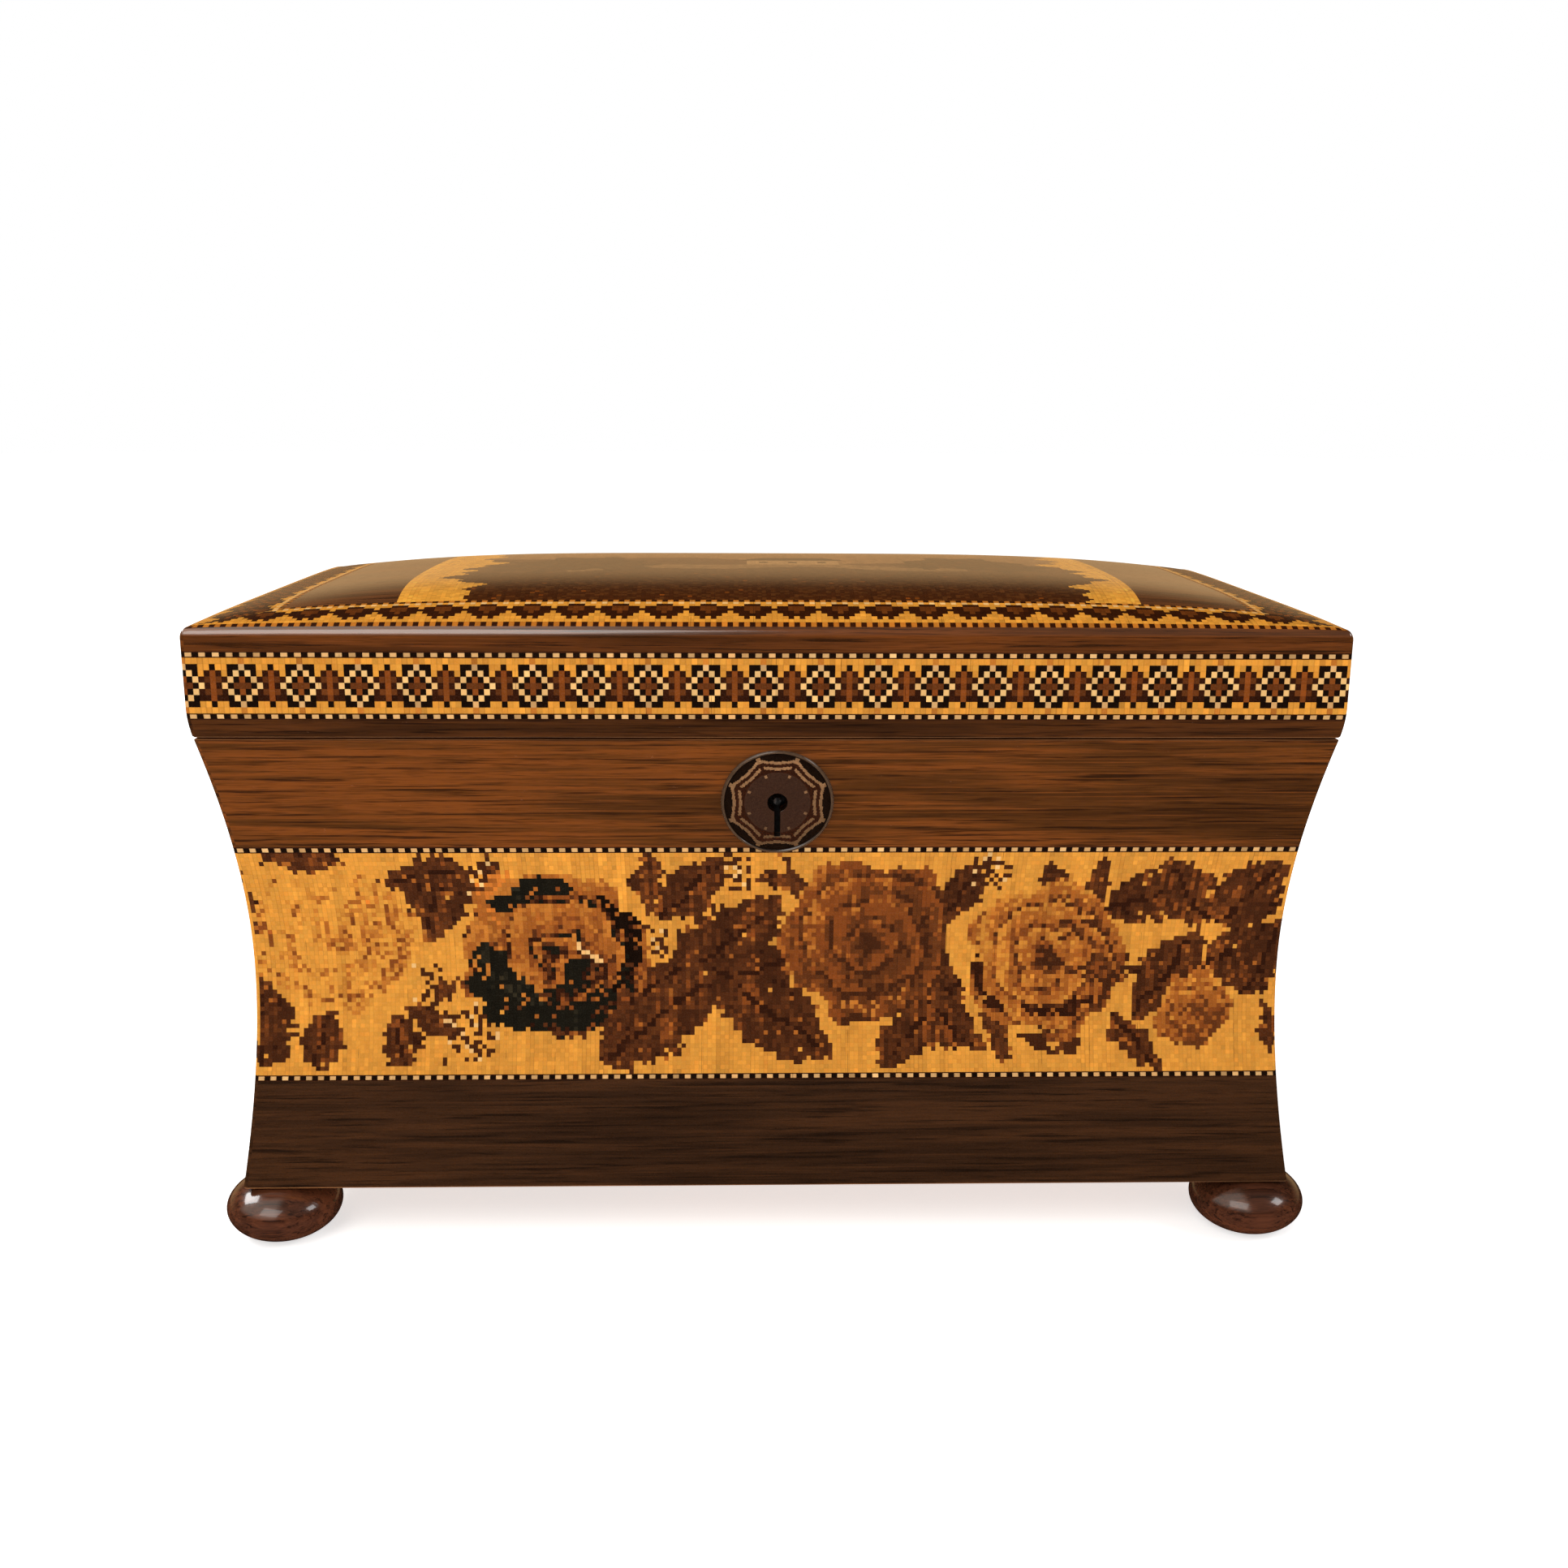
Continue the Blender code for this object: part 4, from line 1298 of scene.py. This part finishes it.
def place_camera(scene):
    """The camera at the photograph's viewpoint."""
    pitch, yaw, roll = (math.radians(angle) for angle in CAMERA_TURN)
    ahead = Vector((
        math.sin(yaw) * math.cos(pitch), math.cos(yaw) * math.cos(pitch), -math.sin(pitch)))
    right = Vector((math.cos(yaw), -math.sin(yaw), 0))
    up = right.cross(ahead)
    tilted_right = math.cos(roll) * right + math.sin(roll) * up
    tilted_up = -math.sin(roll) * right + math.cos(roll) * up
    lens = bpy.data.cameras.new("camera")
    lens.lens = CAMERA_LENS
    lens.sensor_width = CAMERA_SENSOR
    lens.sensor_fit = "HORIZONTAL"
    camera = bpy.data.objects.new("camera", lens)
    turn = Matrix((tilted_right, tilted_up, -ahead)).transposed().to_4x4()
    camera.matrix_world = Matrix.Translation(CAMERA_PLACE) @ turn
    scene.collection.objects.link(camera)
    scene.camera = camera


OPERATORS = (
    CADDY_OT_carcass, CADDY_OT_veneers, CADDY_OT_mosaics, CADDY_OT_lid_top,
    CADDY_OT_escutcheon, CADDY_OT_feet, CADDY_OT_stage,
)


class CADDY_PT_panel(bpy.types.Panel):
    """Lists the pieces of the tea caddy"""

    bl_idname = "CADDY_PT_panel"
    bl_label = "Tea caddy"
    bl_space_type = "VIEW_3D"
    bl_region_type = "UI"
    bl_category = "Tea caddy"

    def draw(self, context):
        layout = self.layout
        for group in (context.scene.caddy_sizes, context.scene.caddy_colours):
            box = layout.box()
            for name in group.__annotations__:
                box.prop(group, name)
        for operator in OPERATORS:
            layout.operator(operator.bl_idname)


CLASSES = (CaddySizes, CaddyColours, *OPERATORS, CADDY_PT_panel)


def register():
    for cls in CLASSES:
        bpy.utils.register_class(cls)
    bpy.types.Scene.caddy_sizes = bpy.props.PointerProperty(type=CaddySizes)
    bpy.types.Scene.caddy_colours = bpy.props.PointerProperty(type=CaddyColours)


def unregister():
    del bpy.types.Scene.caddy_colours
    del bpy.types.Scene.caddy_sizes
    for cls in reversed(CLASSES):
        bpy.utils.unregister_class(cls)


def main():
    register()
    bpy.ops.caddy.carcass()
    bpy.ops.caddy.veneers()
    bpy.ops.caddy.mosaics()
    bpy.ops.caddy.lid_top()
    bpy.ops.caddy.escutcheon()
    bpy.ops.caddy.feet()
    bpy.ops.caddy.stage()


if __name__ == "__main__":
    main()
